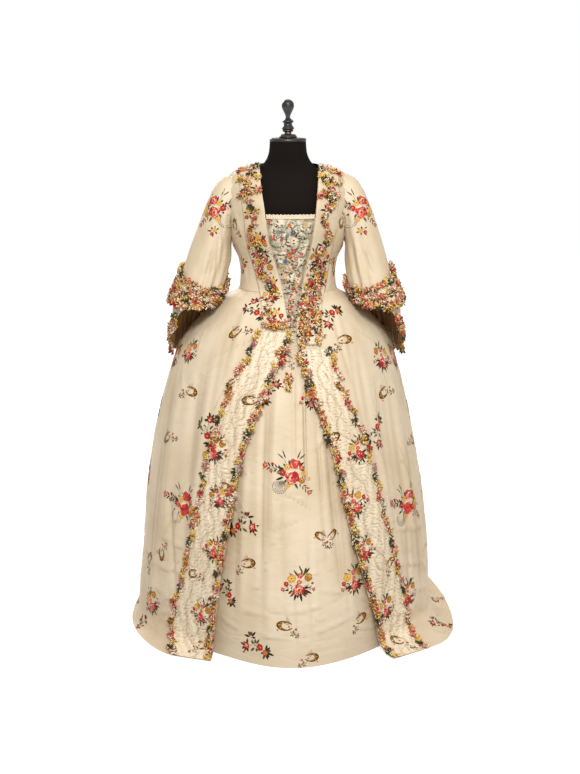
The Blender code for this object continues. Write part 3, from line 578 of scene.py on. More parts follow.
class Cloth:
    """A grid of points over (u, v), which other pieces are laid on."""

    def __init__(self, point, across, down, outward, wrap=False):
        self.u, self.v = np.array(across, float), np.array(down, float)
        self.outward, self.wrap = outward, wrap
        self.p = np.array([[point(float(u), float(v)) for u in across] for v in down], float)
        self.shade = np.zeros(self.p.shape[:2])
        self.turn_out()

    def turn_out(self):
        p = np.concatenate([self.p[:, -2:-1], self.p, self.p[:, 1:2]], 1) if self.wrap else self.p
        along = np.gradient(p, axis=1)
        along = along[:, 1:-1] if self.wrap else along
        n = np.cross(along, np.gradient(self.p, axis=0)) * self.outward
        self.n = n / np.maximum(np.linalg.norm(n, axis=2, keepdims=True), 1e-9)

    def swell(self, height):
        """Moves every point outwards by its own height, and none below the floor."""
        self.p = self.p + self.n * height[..., None]
        self.p[..., 2] = np.maximum(self.p[..., 2], FLOOR_CLEAR)
        self.turn_out()

    def at(self, u, v, lift=0.0):
        """Points on the cloth at (u, v), moved outwards by lift, and the outward directions there."""
        u, v = np.atleast_1d(u).astype(float), np.atleast_1d(v).astype(float)
        u = np.mod(u, 360) if self.wrap else u
        j = np.clip(np.searchsorted(self.u, u, side="right") - 1, 0, len(self.u) - 2)
        i = np.clip(np.searchsorted(self.v, v, side="right") - 1, 0, len(self.v) - 2)
        s = ((u - self.u[j]) / (self.u[j + 1] - self.u[j]))[:, None]
        t = ((v - self.v[i]) / (self.v[i + 1] - self.v[i]))[:, None]

        def blend(a):
            above = a[i, j] * (1 - s) + a[i, j + 1] * s
            below = a[i + 1, j] * (1 - s) + a[i + 1, j + 1] * s
            return above * (1 - t) + below * t

        out = blend(self.n)
        out = out / np.linalg.norm(out, axis=1, keepdims=True)
        return blend(self.p) + out * np.reshape(lift, (-1, 1)), out

    def nearest(self, x, z, behind=False):
        """The (u, v) of the grid point seen at this x and z from the front, or from behind."""
        turned_away = (self.n[..., 1] > 0.1) != behind
        away = (self.p[..., 0] - x) ** 2 + (self.p[..., 2] - z) ** 2 + 9.0 * turned_away
        i, j = np.unravel_index(away.argmin(), away.shape)
        return self.u[j], self.v[i]

    def steps(self, u, v, grain):
        """A 2 x 2 matrix that turns metres to the right and upwards at (u, v) into steps of u and v."""
        near = 0.006  # how far apart the places are that are compared, as a share of the cloth
        du, dv = near * (self.u[-1] - self.u[0]), near * (self.v[-1] - self.v[0])
        u0, u1 = (u - du, u + du) if self.wrap else (max(u - du, self.u[0]), min(u + du, self.u[-1]))
        v0, v1 = max(v - dv, self.v[0]), min(v + dv, self.v[-1])
        (a, b, c, d), out = self.at([u0, u1, u, u], [v, v, v0, v1])
        along, down, out = (b - a) / (u1 - u0), (d - c) / (v1 - v0), out[2]
        up = -down if grain or abs(out[2]) > 0.85 else np.array([0.0, 0.0, 1.0])
        up = up - out * (up @ out)
        up = up / np.linalg.norm(up)
        right = np.cross(up, out)
        return np.linalg.inv(np.array([[along @ right, down @ right], [along @ up, down @ up]])), right, up

    def measures(self):
        """Metres across and down the cloth at every point."""
        far = np.append(0, np.cumsum(np.linalg.norm(np.diff(self.p, axis=1), axis=2).mean(0)))
        long = np.append(0, np.cumsum(np.linalg.norm(np.diff(self.p, axis=0), axis=2).mean(1)))
        return np.meshgrid(far, long)


def waves(x, seed, lengths):
    """A sum of sines of these wavelengths, between -1 and 1, different for each seed."""
    total = 0.0
    for k, length in enumerate(lengths):
        total = total + np.sin(2 * np.pi * x / length + seed * (1.7 + k) + k * 2.1)
    return total / len(lengths)

# %% Creases
def crease(cloth, lines, behind=False, over=None):
    """Presses soft folds in: each line runs (x, z) to (x, z) as seen from the front, with its half width
    and its height, in millimetres, above 0 for a ridge with a trough beside it."""
    height = np.zeros(cloth.p.shape[:2])
    if over is None:
        x, z = cloth.p[..., 0], cloth.p[..., 2]
        facing = cloth.n[..., 1] > 0 if behind else cloth.n[..., 1] < 0.25
    else:
        x, z = over
        facing = True
    for x0, z0, x1, z1, wide, high in lines:
        long2 = (x1 - x0) ** 2 + (z1 - z0) ** 2
        t = ((x - x0) * (x1 - x0) + (z - z0) * (z1 - z0)) / long2
        across = ((x - x0) * (z1 - z0) - (z - z0) * (x1 - x0)) / math.sqrt(long2)
        bow = 0.25 * wide * np.sin(5 * t)
        reach = (across * 1000 - bow) / wide
        fade = facing * (ramp(4 * t) * ramp(4 * (1 - t))) ** 0.8
        height += high / 1000 * fade * np.exp(-(reach**2)) * (1 - 1.1 * reach)
        foot = np.exp(-(((reach - 0.95 * np.sign(high)) / 0.45) ** 2))
        cloth.shade = np.maximum(cloth.shade, fade * foot * min(0.55, 0.75 * abs(high) / wide))
    cloth.swell(height)


def crumple(cloth, count, low, high, lean=0.0, long=(0.03, 0.11), deep=1.3):
    """Scatters small creases between two distances down the cloth, given as shares. A lean of 0 is level and
    one of 90 is upright; long is in metres and deep in millimetres."""
    across, down = cloth.measures()
    scatter = 22  # degrees
    lines = []
    for _ in range(count):
        x, z = across.max() * chance.uniform(0.03, 0.97), down.max() * chance.uniform(low, high)
        turn, length = math.radians(lean + chance.normal() * scatter), chance.uniform(*long)
        lines.append((x, z, x + length * math.cos(turn), z + length * math.sin(turn),
            chance.uniform(2.5, 6.0), deep * chance.choice([-1, 1]) * chance.uniform(0.5, 1.2)))
    crease(cloth, lines, over=(across, down))

# %% [markdown]
# ## Meshes
#
# Silk is about 0.2 mm thick, so one sheet of quads is enough for most pieces. Its texture coordinates are
# in metres, so that the ribs of the weave have one size everywhere. Edges that show as folded silk are
# given a real thickness with a Solidify modifier.

# %% Making meshes
def add_object(name, points, faces, materials, of=None, stands_for=(), smooth_faces=True):
    """One mesh that moves with the part. `of` gives each face's material by its place in the list."""
    mesh = bpy.data.meshes.new(name)
    mesh.from_pydata([tuple(p) for p in points], [], [tuple(f) for f in faces])
    for material in materials:
        mesh.materials.append(material)
    if of is not None:
        mesh.polygons.foreach_set("material_index", np.array(of, np.int32))
    mesh.polygons.foreach_set("use_smooth", np.full(len(mesh.polygons), smooth_faces))
    body = bpy.data.objects.new(name, mesh)
    bpy.context.scene.collection.objects.link(body)
    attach(body, "root")
    if stands_for:
        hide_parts(*stands_for)
    return body


def add_cloth(name, cloth, material, thick=0.0, stands_for=(), inside=None):
    """The mesh of a Cloth, with its measures and its shade; inside is the material of its other face."""
    rows, columns = cloth.p.shape[:2]
    points = cloth.p[:, : columns - 1] if cloth.wrap else cloth.p
    wide = points.shape[1]
    i, j = np.meshgrid(np.arange(rows - 1), np.arange(columns - 1), indexing="ij")
    i, j = i.ravel(), j.ravel()
    k = (j + 1) % wide if cloth.wrap else j + 1
    faces = np.stack([i * wide + j, i * wide + k, (i + 1) * wide + k, (i + 1) * wide + j], 1)
    if cloth.outward < 0:
        faces = faces[:, ::-1]
    body = add_object(name, points.reshape(-1, 3), faces, [material], stands_for=stands_for)
    far = np.linalg.norm(np.diff(cloth.p, axis=1), axis=2).max(0)
    long = np.linalg.norm(np.diff(cloth.p, axis=0), axis=2).mean(1)
    across, down = np.append(0, np.cumsum(far)), np.append(0, np.cumsum(long))
    corner_j = np.stack([j, j + 1, j + 1, j], 1)
    corner_i = np.stack([i, i, i + 1, i + 1], 1)
    if cloth.outward < 0:
        corner_j, corner_i = corner_j[:, ::-1], corner_i[:, ::-1]
    layer = body.data.uv_layers.new(name="cloth")
    layer.data.foreach_set("uv", np.stack([across[corner_j], down[corner_i]], 2).ravel().astype(np.float32))
    shade = (cloth.shade[:, : columns - 1] if cloth.wrap else cloth.shade).ravel()
    colours = body.data.color_attributes.new("shade", "FLOAT_COLOR", "POINT")
    rgba = np.stack([shade, shade, shade, np.ones_like(shade)], 1)
    colours.data.foreach_set("color", rgba.ravel().astype(np.float32))
    if thick:
        if inside:
            body.data.materials.append(inside)
        wall = body.modifiers.new("wall", "SOLIDIFY")
        wall.material_offset = 1 if inside else 0
        wall.thickness = thick
        wall.offset = -1
    return body

# %% [markdown]
# ## Materials
#
# The silk is a plain weave with a heavy weft, which gives fine ribs across the width. Here the ribs are
# drawn 2 mm apart, coarser than the real 0.6 mm, so that they still show. Silk keeps a soft sheen at a
# glancing angle. The floss of the flowers and of the fly fringe is untwisted, so it is a little rougher. The
# form is covered in matt black cotton, its neck cap and finial are turned wood under black paint, and its
# collar is brass. None of these is one flat colour, so they share a function that mottles the colour and
# gives it a fine grain.

# %% Helpers for materials
MIX_A, MIX_B, MIX_RESULT = 6, 7, 2  # the colour sockets of a Mix node
WAVE_LENGTH = 0.314  # a wave texture of scale 1 repeats after this distance


def linear(colour):
    """Linear RGBA from an sRGB hex colour."""
    parts = [int(colour[k : k + 2], 16) / 255 for k in (1, 3, 5)]
    return (*(c / 12.92 if c <= 0.04045 else ((c + 0.055) / 1.055) ** 2.4 for c in parts), 1.0)


def node(tree, kind, settings=None, links=None):
    """Adds a node, sets its inputs and properties, and links its inputs from other sockets."""
    made = tree.nodes.new(kind)
    for name, value in (settings or {}).items():
        if name in made.inputs:
            made.inputs[name].default_value = value
        else:
            setattr(made, name, value)
    for name, source in (links or {}).items():
        tree.links.new(source, made.inputs[name])
    return made


def plain(name, colour, **settings):
    """A Principled BSDF with constant values."""
    material = bpy.data.materials.new(name)
    material.use_nodes = True
    shader = material.node_tree.nodes["Principled BSDF"]
    shader.inputs["Base Color"].default_value = linear(colour)
    for key, value in settings.items():
        shader.inputs[key.replace("_", " ")].default_value = value
    material.diffuse_color = linear(colour)
    return material


print("cream silk in linear light:", [round(part, 3) for part in linear("#DACAB0")[:3]])

# %% Ribbed silk
def silk(name, light, dark, rib=0.002, rib_deep=0.5, mottle=4.0, painted_crease_shade="#8F6F45"):
    """Ribbed silk: its ground shades between two colours in uneven patches, painted shade from the cloth's
    shade attribute turns its creases brown, and soft crinkles of about 60 x 24 mm lie under the ribs."""
    material = plain(name, light, Roughness=0.52, IOR=1.5, Sheen_Weight=0.12, Sheen_Roughness=0.4,
        Sheen_Tint=linear("#E8CFA4"))
    tree = material.node_tree
    shader = tree.nodes["Principled BSDF"]
    place = node(tree, "ShaderNodeTexCoord").outputs["UV"]
    cloud = node(tree, "ShaderNodeTexNoise", {"Scale": mottle, "Detail": 3.0, "Roughness": 0.55},
        {"Vector": place})
    ribs = node(tree, "ShaderNodeTexWave",
        {"bands_direction": "Y", "Scale": WAVE_LENGTH / rib, "Distortion": 0.4, "Detail": 1.0},
        {"Vector": place})
    tone = node(tree, "ShaderNodeMapRange",
        {"From Min": 0.42, "From Max": 0.72, "To Min": 0.0, "To Max": 1.0}, {"Value": cloud.outputs["Fac"]})
    ground = node(tree, "ShaderNodeMix", {"data_type": "RGBA"}, {"Factor": tone.outputs["Result"]})
    ground.inputs[MIX_A].default_value = linear(light)
    ground.inputs[MIX_B].default_value = linear(dark)
    # Painted shade: the cloth's shade attribute mixes the ground towards the painted crease shade colour.
    folds = node(tree, "ShaderNodeAttribute", {"attribute_name": "shade"})
    deep = node(tree, "ShaderNodeMix", {"data_type": "RGBA"}, {"Factor": folds.outputs["Fac"]})
    tree.links.new(ground.outputs[MIX_RESULT], deep.inputs[MIX_A])
    deep.inputs[MIX_B].default_value = linear(painted_crease_shade)
    tree.links.new(deep.outputs[MIX_RESULT], shader.inputs["Base Color"])
    level = node(tree, "ShaderNodeMapping", {"Scale": (17.0, 42.0, 1.0)}, {"Vector": place})
    dents = node(tree, "ShaderNodeTexNoise", {"Scale": 1.0, "Detail": 4.0, "Distortion": 0.6},
        {"Vector": level.outputs["Vector"]})
    soft = node(tree, "ShaderNodeBump", {"Strength": 0.62, "Distance": 0.0032},
        {"Height": dents.outputs["Fac"]})
    bumps = node(tree, "ShaderNodeBump", {"Strength": rib_deep, "Distance": 0.0002},
        {"Height": ribs.outputs["Fac"], "Normal": soft.outputs["Normal"]})
    tree.links.new(bumps.outputs["Normal"], shader.inputs["Normal"])
    return material


gown_silk = silk("gown_silk", "#DACAB0", "#C9B696")
# The gathered bands, the cuffs and the frill: the gown's silk painted a little lighter, as painted light on
# the gathers.
band_silk = silk("band_silk", "#E6D7BD", "#D7C6A8")
# The flounces' inner face: a lining painted dark brown, as painted shade inside the flounce.
lining_painted_shade = silk("lining_painted_shade", "#A37C4C", "#865F38")
stomacher_silk = silk("stomacher_silk", "#E4D8C0", "#96866A", rib=0.0016, rib_deep=0.7, mottle=38.0,
    painted_crease_shade="#6E4A26")

# %% Floss silk, black cotton, painted wood and brass
FLOSS = {
    "ink": "#211D0E", "moss": "#474623", "crimson": "#A3171A", "rose": "#C03A33", "blush": "#DFA088",
    "gold": "#CD9A3E", "ochre": "#A36C22", "umber": "#4C3414", "dove": "#77736A", "cream": "#E8DCC4",
    "blue": "#456384", "sea": "#7B947E", "coral": "#BC4730", "salmon": "#CF8064", "lemon": "#E0C068",
    "amber": "#B97C2A", "petal": "#CF5F52", "olive": "#403F1C", "mauve": "#AD8480", "wine": "#701A1C",
}


def grained(name, colour, grain, uneven, deep, **settings):
    """A finish with a grain: its size along x, y and z in metres, how much lighter and darker it makes the
    colour, and how deep it is in metres."""
    material = plain(name, colour, **settings)
    tree = material.node_tree
    shader = tree.nodes["Principled BSDF"]
    place = node(tree, "ShaderNodeTexCoord").outputs["Object"]
    level = node(tree, "ShaderNodeMapping", {"Scale": tuple(1 / size for size in grain)}, {"Vector": place})
    spots = node(tree, "ShaderNodeTexNoise", {"Scale": 1.0, "Detail": 2.0},
        {"Vector": level.outputs["Vector"]})
    tone = node(tree, "ShaderNodeMapRange", {"From Min": 0.3, "From Max": 0.7},
        {"Value": spots.outputs["Fac"]})
    ground = node(tree, "ShaderNodeMix", {"data_type": "RGBA"}, {"Factor": tone.outputs["Result"]})
    for socket, factor in ((MIX_A, 1 - uneven), (MIX_B, 1 + uneven)):
        ground.inputs[socket].default_value = (*(min(1.0, factor * part) for part in linear(colour)[:3]), 1.0)
    tree.links.new(ground.outputs[MIX_RESULT], shader.inputs["Base Color"])
    bumps = node(tree, "ShaderNodeBump", {"Strength": 0.4, "Distance": deep},
        {"Height": spots.outputs["Fac"]})
    tree.links.new(bumps.outputs["Normal"], shader.inputs["Normal"])
    return material


floss = {name: grained("floss_" + name, colour, (0.008, 0.008, 0.0015), 0.28, 0.0003, Roughness=0.6, IOR=1.5,
    Specular_IOR_Level=0.25) for name, colour in FLOSS.items()}
form_cotton = grained("form_cotton", "#15100D", (0.0011, 0.0011, 0.0011), 0.2, 0.0003, Roughness=0.9,
    IOR=1.35, Specular_IOR_Level=0.2)
form_paint = grained("form_paint", "#14100E", (0.012, 0.012, 0.003), 0.35, 0.0002, Roughness=0.38, IOR=1.5,
    Coat_Weight=0.25, Coat_Roughness=0.3)
form_brass = grained("form_brass", "#A97C55", (0.004, 0.004, 0.002), 0.3, 0.0001, Roughness=0.38,
    Metallic=1.0)
print(len(bpy.data.materials), "materials")

# %% [markdown]
# ## Brocaded flowers
#
# Each motif is drawn with leaves, petals and stalks in millimetres, then laid on the cloth a third of a
# millimetre proud, as brocading wefts stand on the ground. The kinds are the usual ones for such silks: a
# large bouquet in a shell basket, a round posy, a slanting spray and a curled plume with a sprig.

# %% Drawing flowers
LEAF = ((0.0, 0.0), (0.3, 0.5), (0.68, 0.5), (1.0, 0.16), (0.68, -0.28), (0.3, -0.42))
PETAL = ((0.0, 0.12), (0.5, 0.5), (0.88, 0.42), (1.0, 0.0), (0.88, -0.42), (0.5, -0.5), (0.0, -0.12))


def shape(colour, x, y, turn, long, wide, outline=LEAF, layer=0):
    """One flat shape growing from (x, y), its turn in degrees from the right."""
    c, s = cosd(turn), sind(turn)
    corners = [(a * long, b * wide) for a, b in outline]
    return colour, layer, [(x + a * c - b * s, y + a * s + b * c) for a, b in corners]


def stalk(colour, points, wide=0.9):
    """A thin line of floss through these points."""
    shapes = []
    for (x0, y0), (x1, y1) in zip(points, points[1:]):
        long = math.hypot(x1 - x0, y1 - y0) or 1.0
        sx, sy = -(y1 - y0) / long * wide / 2, (x1 - x0) / long * wide / 2
        corners = [(x0 + sx, y0 + sy), (x1 + sx, y1 + sy), (x1 - sx, y1 - sy), (x0 - sx, y0 - sy)]
        shapes.append((colour, 0, corners))
    return shapes


def arc(x, y, radius, start, end, count=6, squash=1.0):
    """Points along an arc, the angles in degrees."""
    return [(x + radius * cosd(a), y + radius * squash * sind(a)) for a in spaced(start, end, count)]

# %% Blooms, roses and buds
def bloom(x, y, radius, petals, outer, inner, heart, turn=10.0, layer=1):
    """An open flower: a ring of petals of uneven length, strokes of a second colour in them and a heart."""
    shapes = []
    for k in range(petals):
        angle = turn + 360 * k / petals
        long = radius * (0.86 + 0.16 * math.cos(5 * k + x))
        shapes.append(shape(outer, x, y, angle, long, 5.0 * radius / petals, PETAL, layer))
        shapes.append(shape(inner, x, y, angle + 9, long * 0.8, 1.5 * radius / petals, LEAF, layer + 1))
    shapes.append((heart, layer + 2, arc(x, y, radius * 0.2, 0, 300, 6)))
    return shapes


def blooms(*rows):
    """A bloom from each row."""
    return [part for row in rows for part in bloom(*row)]


def rose(x, y, radius, turn=0.0):
    """A full rose, crimson outside, pink petals folded within it and cream lights along their rims."""
    shapes = []
    for k in range(7):
        long = radius * (0.9 + 0.13 * math.cos(3 * k))
        colour = "rose" if k % 3 else "crimson"
        shapes.append(shape(colour, x, y, turn + 51 * k, long, radius * 0.95, PETAL, 1))
    for k in range(5):
        colour = "petal" if k % 2 else "salmon"
        shapes.append(shape(colour, x, y, turn + 25 + 72 * k, radius * 0.7, radius * 0.46, PETAL, 2))
    rims = ((0.88, 35, 50), (0.64, 150, 80), (0.52, 290, 75), (0.86, 215, 45), (0.32, 60, 120))
    for k, (far, start, wide) in enumerate(rims):
        tone = "crimson" if k == 2 else "blush" if k % 2 else "cream"
        rim = arc(x, y, radius * far, turn + start, turn + start + wide, 4)
        shapes += [(tone, 3, outline) for _, _, outline in stalk(tone, rim, 2.6)]
    shapes.append(("crimson", 3, arc(x, y, radius * 0.18, 0, 300, 6)))
    return shapes


def bud(x, y, turn, size=1.0, colour="crimson"):
    """A closed petal between two small leaves."""
    sides = [shape("moss", x, y, turn + lean, 6 * size, 2.4 * size) for lean in (28, -28)]
    return sides + [shape(colour, x, y, turn, 8 * size, 5 * size, PETAL, 1)]


def sprig(x, y, turn, long, leaves=4, flower="crimson"):
    """A stalk with pairs of narrow dark leaves and a flower at its tip."""
    c, s = cosd(turn), sind(turn)
    shapes = stalk("ink", [(x, y), (x + long * c, y + long * s)], 0.8)
    for k in range(leaves):
        far = long * (k + 0.6) / leaves
        for side in (-1, 1):
            colour = "ink" if (k + side) % 3 else "moss"
            shapes.append(shape(colour, x + far * c, y + far * s, turn + side * 48, long * 0.3, long * 0.085))
    return shapes + bloom(x + long * c, y + long * s, long * 0.17, 5, flower, "blush", "gold", turn)


def leaves_round(x, y, inner, turns, long, wide, colour="ink"):
    """Leaves that grow outward from a ring, uneven in length and turn, some of them greener."""
    shapes = []
    for k, a in enumerate(turns):
        far, lean = 0.86 + 0.22 * math.cos(2.4 * k + x), 9 * math.sin(1.9 * k + y)
        tone = "moss" if k % 4 == 2 else colour
        root = x + inner * cosd(a), y + inner * sind(a)
        shapes.append(shape(tone, *root, a + lean, long * far, 1.15 * wide))
    return shapes


print("a rose is", len(rose(0, 0, 17)), "shapes, a bud", len(bud(0, 0, 0)))

# %% [markdown]
# ## The five motifs
#
# Bouquets on such silks are built up from a few stock flowers, placed here in millimetres from the motif's
# middle. Each leaf is a real shape whose edge casts a shadow, which a picture laid on the cloth wouldn't
# have.

# %% Posy and basket
def posy():
    """A round bouquet with a rose below and two yellow flowers above."""
    shapes = leaves_round(0, -10, 12, (185, 205, 222, 240, 262, 282, 300, 318, 338, 355), 27, 6.5)
    shapes += leaves_round(4, 8, 14, (35, 62, 80, 112, 140, 165), 26, 5.5, "moss")
    shapes += leaves_round(14, 22, 8, (52, 78, 108), 24, 4.5)
    shapes += sprig(-12, -2, 200, 34, 3) + sprig(14, -4, 338, 30, 3)
    shapes += blooms((-20, 17, 14, 6, "gold", "lemon", "coral"),
        (25, 18, 13, 6, "ochre", "gold", "crimson", 40), (4, 24, 9, 5, "rose", "blush", "gold"),
        (-34, 2, 8, 5, "crimson", "rose", "gold"), (0, 6, 8, 5, "coral", "blush", "gold"))
    return shapes + rose(0, -15, 17) + bud(18, -22, 320) + bud(34, 0, 20) + bud(-22, -20, 215, 1.1)


def basket():
    """A large bouquet that rises from a shell-shaped basket, with horn-like leaves at its top."""
    shapes = []
    for x, turn, long in ((-12, 138, 24), (-6, 112, 28), (24, 68, 28), (30, 42, 24)):
        shapes.append(shape("ink", x, 36, turn, long, 3.6))
    shapes += stalk("ink", [(-10, 36), (-2, 16)]) + stalk("ink", [(26, 36), (20, 20)])
    shapes += sprig(-12, 6, 168, 52, 5, "rose") + sprig(-14, 12, 196, 34, 3)
    shapes += sprig(30, -24, 318, 42, 4) + sprig(34, -8, 342, 26, 3, "gold")
    shapes += leaves_round(10, -4, 22, (15, 48, 100, 150, 205, 255, 290), 24, 6.5)
    shapes += leaves_round(10, -4, 20, (0, 32, 75, 125, 180, 235, 320), 20, 6, "moss")
    for k in range(12):
        shapes += stalk("dove", [(-8, -24)] + arc(-20, -40, 19, 140 + 18 * k, 142 + 18 * k, 2), 1.0)
    shapes += stalk("dove", arc(-20, -40, 20, 140, 350, 10), 1.6)
    shapes += stalk("dove", arc(-20, -40, 14, 150, 340, 8), 1.0)
    shapes += rose(19, 23, 16, 20) + rose(13, -15, 20, 50)
    shapes += blooms((-14, -1, 11, 5, "crimson", "rose", "gold"), (44, -2, 10, 6, "gold", "lemon", "coral"),
        (38, -22, 10, 5, "ochre", "gold", "wine"), (-1, 14, 10, 6, "gold", "lemon", "crimson", 20),
        (37, 14, 8, 5, "coral", "blush", "gold"), (2, -38, 9, 5, "gold", "lemon", "coral"))
    return shapes + bud(48, -38, 330, 1.1) + bud(-38, 20, 150, 1.1) + bud(56, -52, 310, 0.9, "gold")


print("a posy is", len(posy()), "shapes, a basket", len(basket()))

# %% Spray, plume and small flowers
def spray():
    """A slanting branch with small flowers on both sides."""
    shapes = stalk("ink", [(-34, -26), (-12, -6), (4, 4), (12, 26)], 1.0)
    shapes += stalk("ink", [(-4, 0), (24, 2), (38, -4)], 0.9)
    shapes += leaves_round(-26, -18, 3, (100, 130, 165, 200, 232, 265, 300, 340), 20, 6.5)
    shapes += leaves_round(12, 24, 3, (20, 60, 100, 145, 185), 18, 6)
    shapes += leaves_round(30, 0, 3, (330, 15, 60, 110, 250, 295), 18, 6.5)
    shapes += leaves_round(2, 0, 6, (50, 90, 130, 260, 310), 17, 6, "moss")
    shapes += blooms((-12, -4, 11, 6, "crimson", "rose", "gold"),
        (30, 2, 11, 5, "crimson", "blush", "gold", 30), (-24, -20, 9, 5, "coral", "gold", "wine"))
    return shapes + bud(12, 30, 80, 1.1) + bud(38, -14, 320)


def plume():
    """A curled plume, a drop-shaped ring dark outside and gold within, with a fine sprig at its foot."""
    def ring(a):
        """The outer, middle and inner points of the plume at one angle; it is fullest at the far end."""
        full = max(0.0, sind(180 * (a + 174) / 332)) ** 1.1
        outer = 18.6 + 9 * (abs(a + 8) / 166) ** 3
        radii = outer, outer - 1.6 - 2.6 * full, outer - 2.6 - 12.2 * full
        return [(r * cosd(a), 0.68 * r * sind(a)) for r in radii]

    shapes = []
    rings = [ring(a) for a in spaced(-174, 158, 24)]
    for k, (one, two) in enumerate(zip(rings, rings[1:])):
        shapes.append(("ink" if k % 3 else "umber", 0, [one[0], two[0], two[1], one[1]]))
        gilt = ("ochre", "olive", "gold", "ochre", "umber")[k % 5]
        shapes.append((gilt, 1, [one[1], two[1], two[2], one[2]]))
    for k in range(6):
        shapes += stalk("ochre" if k % 2 else "ink", [(-9 + 2 * k, 4 + k), (-22 + 3 * k, 12 + 3 * k)], 0.8)
    shapes += stalk("moss", [(-14, -8), (-26, -17), (-44, -20)], 0.8)
    shapes += stalk("moss", [(-24, -16), (-36, -6)], 0.7)
    shapes += leaves_round(-30, -18, 2, (95, 140, 200, 255, 300), 10, 2.8)
    shapes += leaves_round(-42, -20, 1, (130, 180, 230), 9, 2.6)
    return shapes + blooms((-16, 0, 3.0, 4, "coral", "rose", "gold"),
        (13, -15, 2.6, 4, "coral", "rose", "gold"), (-37, -5, 3.6, 4, "crimson", "rose", "gold"),
        (-40, -26, 3.2, 4, "crimson", "rose", "gold"))


def sprays_small():
    """Two small flowers and a few leaves, to fill between the large motifs."""
    shapes = leaves_round(0, 0, 5, (20, 70, 130, 175, 230, 300, 340), 15, 4.6)
    return shapes + blooms((-3, 2, 9, 6, "gold", "lemon", "coral"), (9, -7, 7, 5, "crimson", "rose", "gold"))


MOTIFS = {"posy": posy(), "basket": basket(), "spray": spray(), "plume": plume(), "small": sprays_small()}
print({name: len(shapes) for name, shapes in MOTIFS.items()}, "shapes in each motif")

# %% [markdown]
# ## Laying the floss on the cloth
#
# Brocading wefts float on the face of the silk and follow its folds, so each corner of a shape is looked up
# on the cloth's own grid and lifted off it a little. A motif keeps its real size on a fold, because its
# corners are corrected until they lie the right distance apart.

# %% Brocading
LAYER_RISE = 0.00012  # each layer of floss lies this much above the one below


class Brocade:
    """The floss shapes laid on one cloth."""

    def __init__(self, cloth, lift=0.0003):
        self.cloth, self.lift, self.shapes = cloth, lift, []

    def place(self, kind, x, z, size=1.0, turn=0.0, flip=False, behind=False, grain=False, uv=None):
        """Lays a motif at its real size, centred where (x, z) is seen or at uv.

        Shapes that would lie off the cloth are dropped."""
        cloth = self.cloth
        u, v = uv or cloth.nearest(x, z, behind)
        steps, right, up = cloth.steps(u, v, grain)
        centre = cloth.at(u, v)[0][0]
        c, s = cosd(turn) * size / 1000, sind(turn) * size / 1000
        spin = np.array([[c, -s], [s, c]]) @ np.diag([-1.0 if flip else 1.0, 1.0])
        shapes = MOTIFS[kind] if isinstance(kind, str) else kind
        want = np.concatenate([outline for _, _, outline in shapes]) @ spin.T
        spots = want @ steps.T + (u, v)
        for again in (True, True, True, False):
            off = cloth.at(spots[:, 0], spots[:, 1])[0] - centre
            miss = want - np.stack([off @ right, off @ up], 1)
            spots = spots + 0.8 * again * miss @ steps.T
        start = 0
        for colour, layer, outline in shapes:
            own, error = spots[start : start + len(outline)], miss[start : start + len(outline)]
            start += len(outline)
            low, high = own.min(0), own.max(0)
            inside_v = low[1] >= cloth.v[0] and high[1] <= cloth.v[-1]
            inside_u = cloth.wrap or (low[0] >= cloth.u[0] and high[0] <= cloth.u[-1])
            if np.abs(error).max() < 0.008 and inside_v and inside_u:
                self.shapes.append((colour, layer, own))

    def add(self, name, slot="gown_silk"):
        """One mesh of all the shapes that were placed."""
        hues, layers, outlines = zip(*self.shapes)
        counts = [len(outline) for outline in outlines]
        spots = np.concatenate(outlines)
        lift = np.repeat([self.lift + LAYER_RISE * layer for layer in layers], counts)
        points, out = self.cloth.at(spots[:, 0], spots[:, 1], lift)
        colours = sorted(set(hues))
        faces, start = [], 0
        for count in counts:
            face = list(range(start, start + count))
            a, b, c = points[start], points[start + 1], points[start + count // 2 + 1]
            faces.append(face if np.cross(b - a, c - a) @ out[start] > 0 else face[::-1])
            start += count
        return add_object(name, points, faces, [floss[c] for c in colours],
            of=[colours.index(hue) for hue in hues], smooth_faces=False)


def place_all(flowers, rows, **settings):
    """Places motifs from rows of kind, x, z and, where they aren't as usual, size, turn and mirroring."""
    for row in rows:
        flowers.place(*row, **settings)


# %% [markdown]
# ## Fly fringe
#
# Fly fringe is a thin cord with tufts of floss silk knotted to both its sides. The tufts come in groups of
# two to four in one hue, then the hue changes. Each tuft is a flat fan of blunt locks that lies on the silk,
# and a few of its locks are cream.

# %% Fringe
HUES = (("salmon", "coral"), ("lemon", "gold"), ("olive", "umber"), ("salmon", "cream"), ("lemon", "amber"),
        ("coral", "crimson"), ("lemon", "gold"), ("mauve", "salmon"), ("olive", "moss"), ("gold", "lemon"),
        ("coral", "salmon"), ("cream", "blush"), ("amber", "umber"), ("salmon", "lemon"))
LOCK_FACES = ((0, 1, 4, 3), (1, 2, 5, 4), (2, 0, 3, 5), (3, 4, 6), (4, 5, 6), (5, 3, 6))
LOCK_CORNERS = 7
LOCK_LONG = 0.013  # the usual length of a lock; a longer lock is thicker in the same measure
TUFT_GAP = 0.0072  # from tuft to tuft in a group
CORD_THIN = 0.0005


def along(cloth, path, every, lift):
    """Evenly spaced points and outward directions on a cloth, along (u, v) places."""
    fine = np.linspace(0, len(path) - 1, 40 * len(path))
    u, v = (np.interp(fine, range(len(path)), [place[k] for place in path]) for k in (0, 1))
    points, out = cloth.at(u, v, lift)
    far = np.append(0, np.cumsum(np.linalg.norm(np.diff(points, axis=0), axis=1)))
    index = np.searchsorted(far, np.arange(0, far[-1], every)).clip(0, len(far) - 1)
    return points[index], out[index]


def unit(vectors):
    """The vectors at length 1."""
    return vectors / np.maximum(np.linalg.norm(vectors, axis=-1, keepdims=True), 1e-9)


print("fringe in", len(HUES), "pairs of hues")

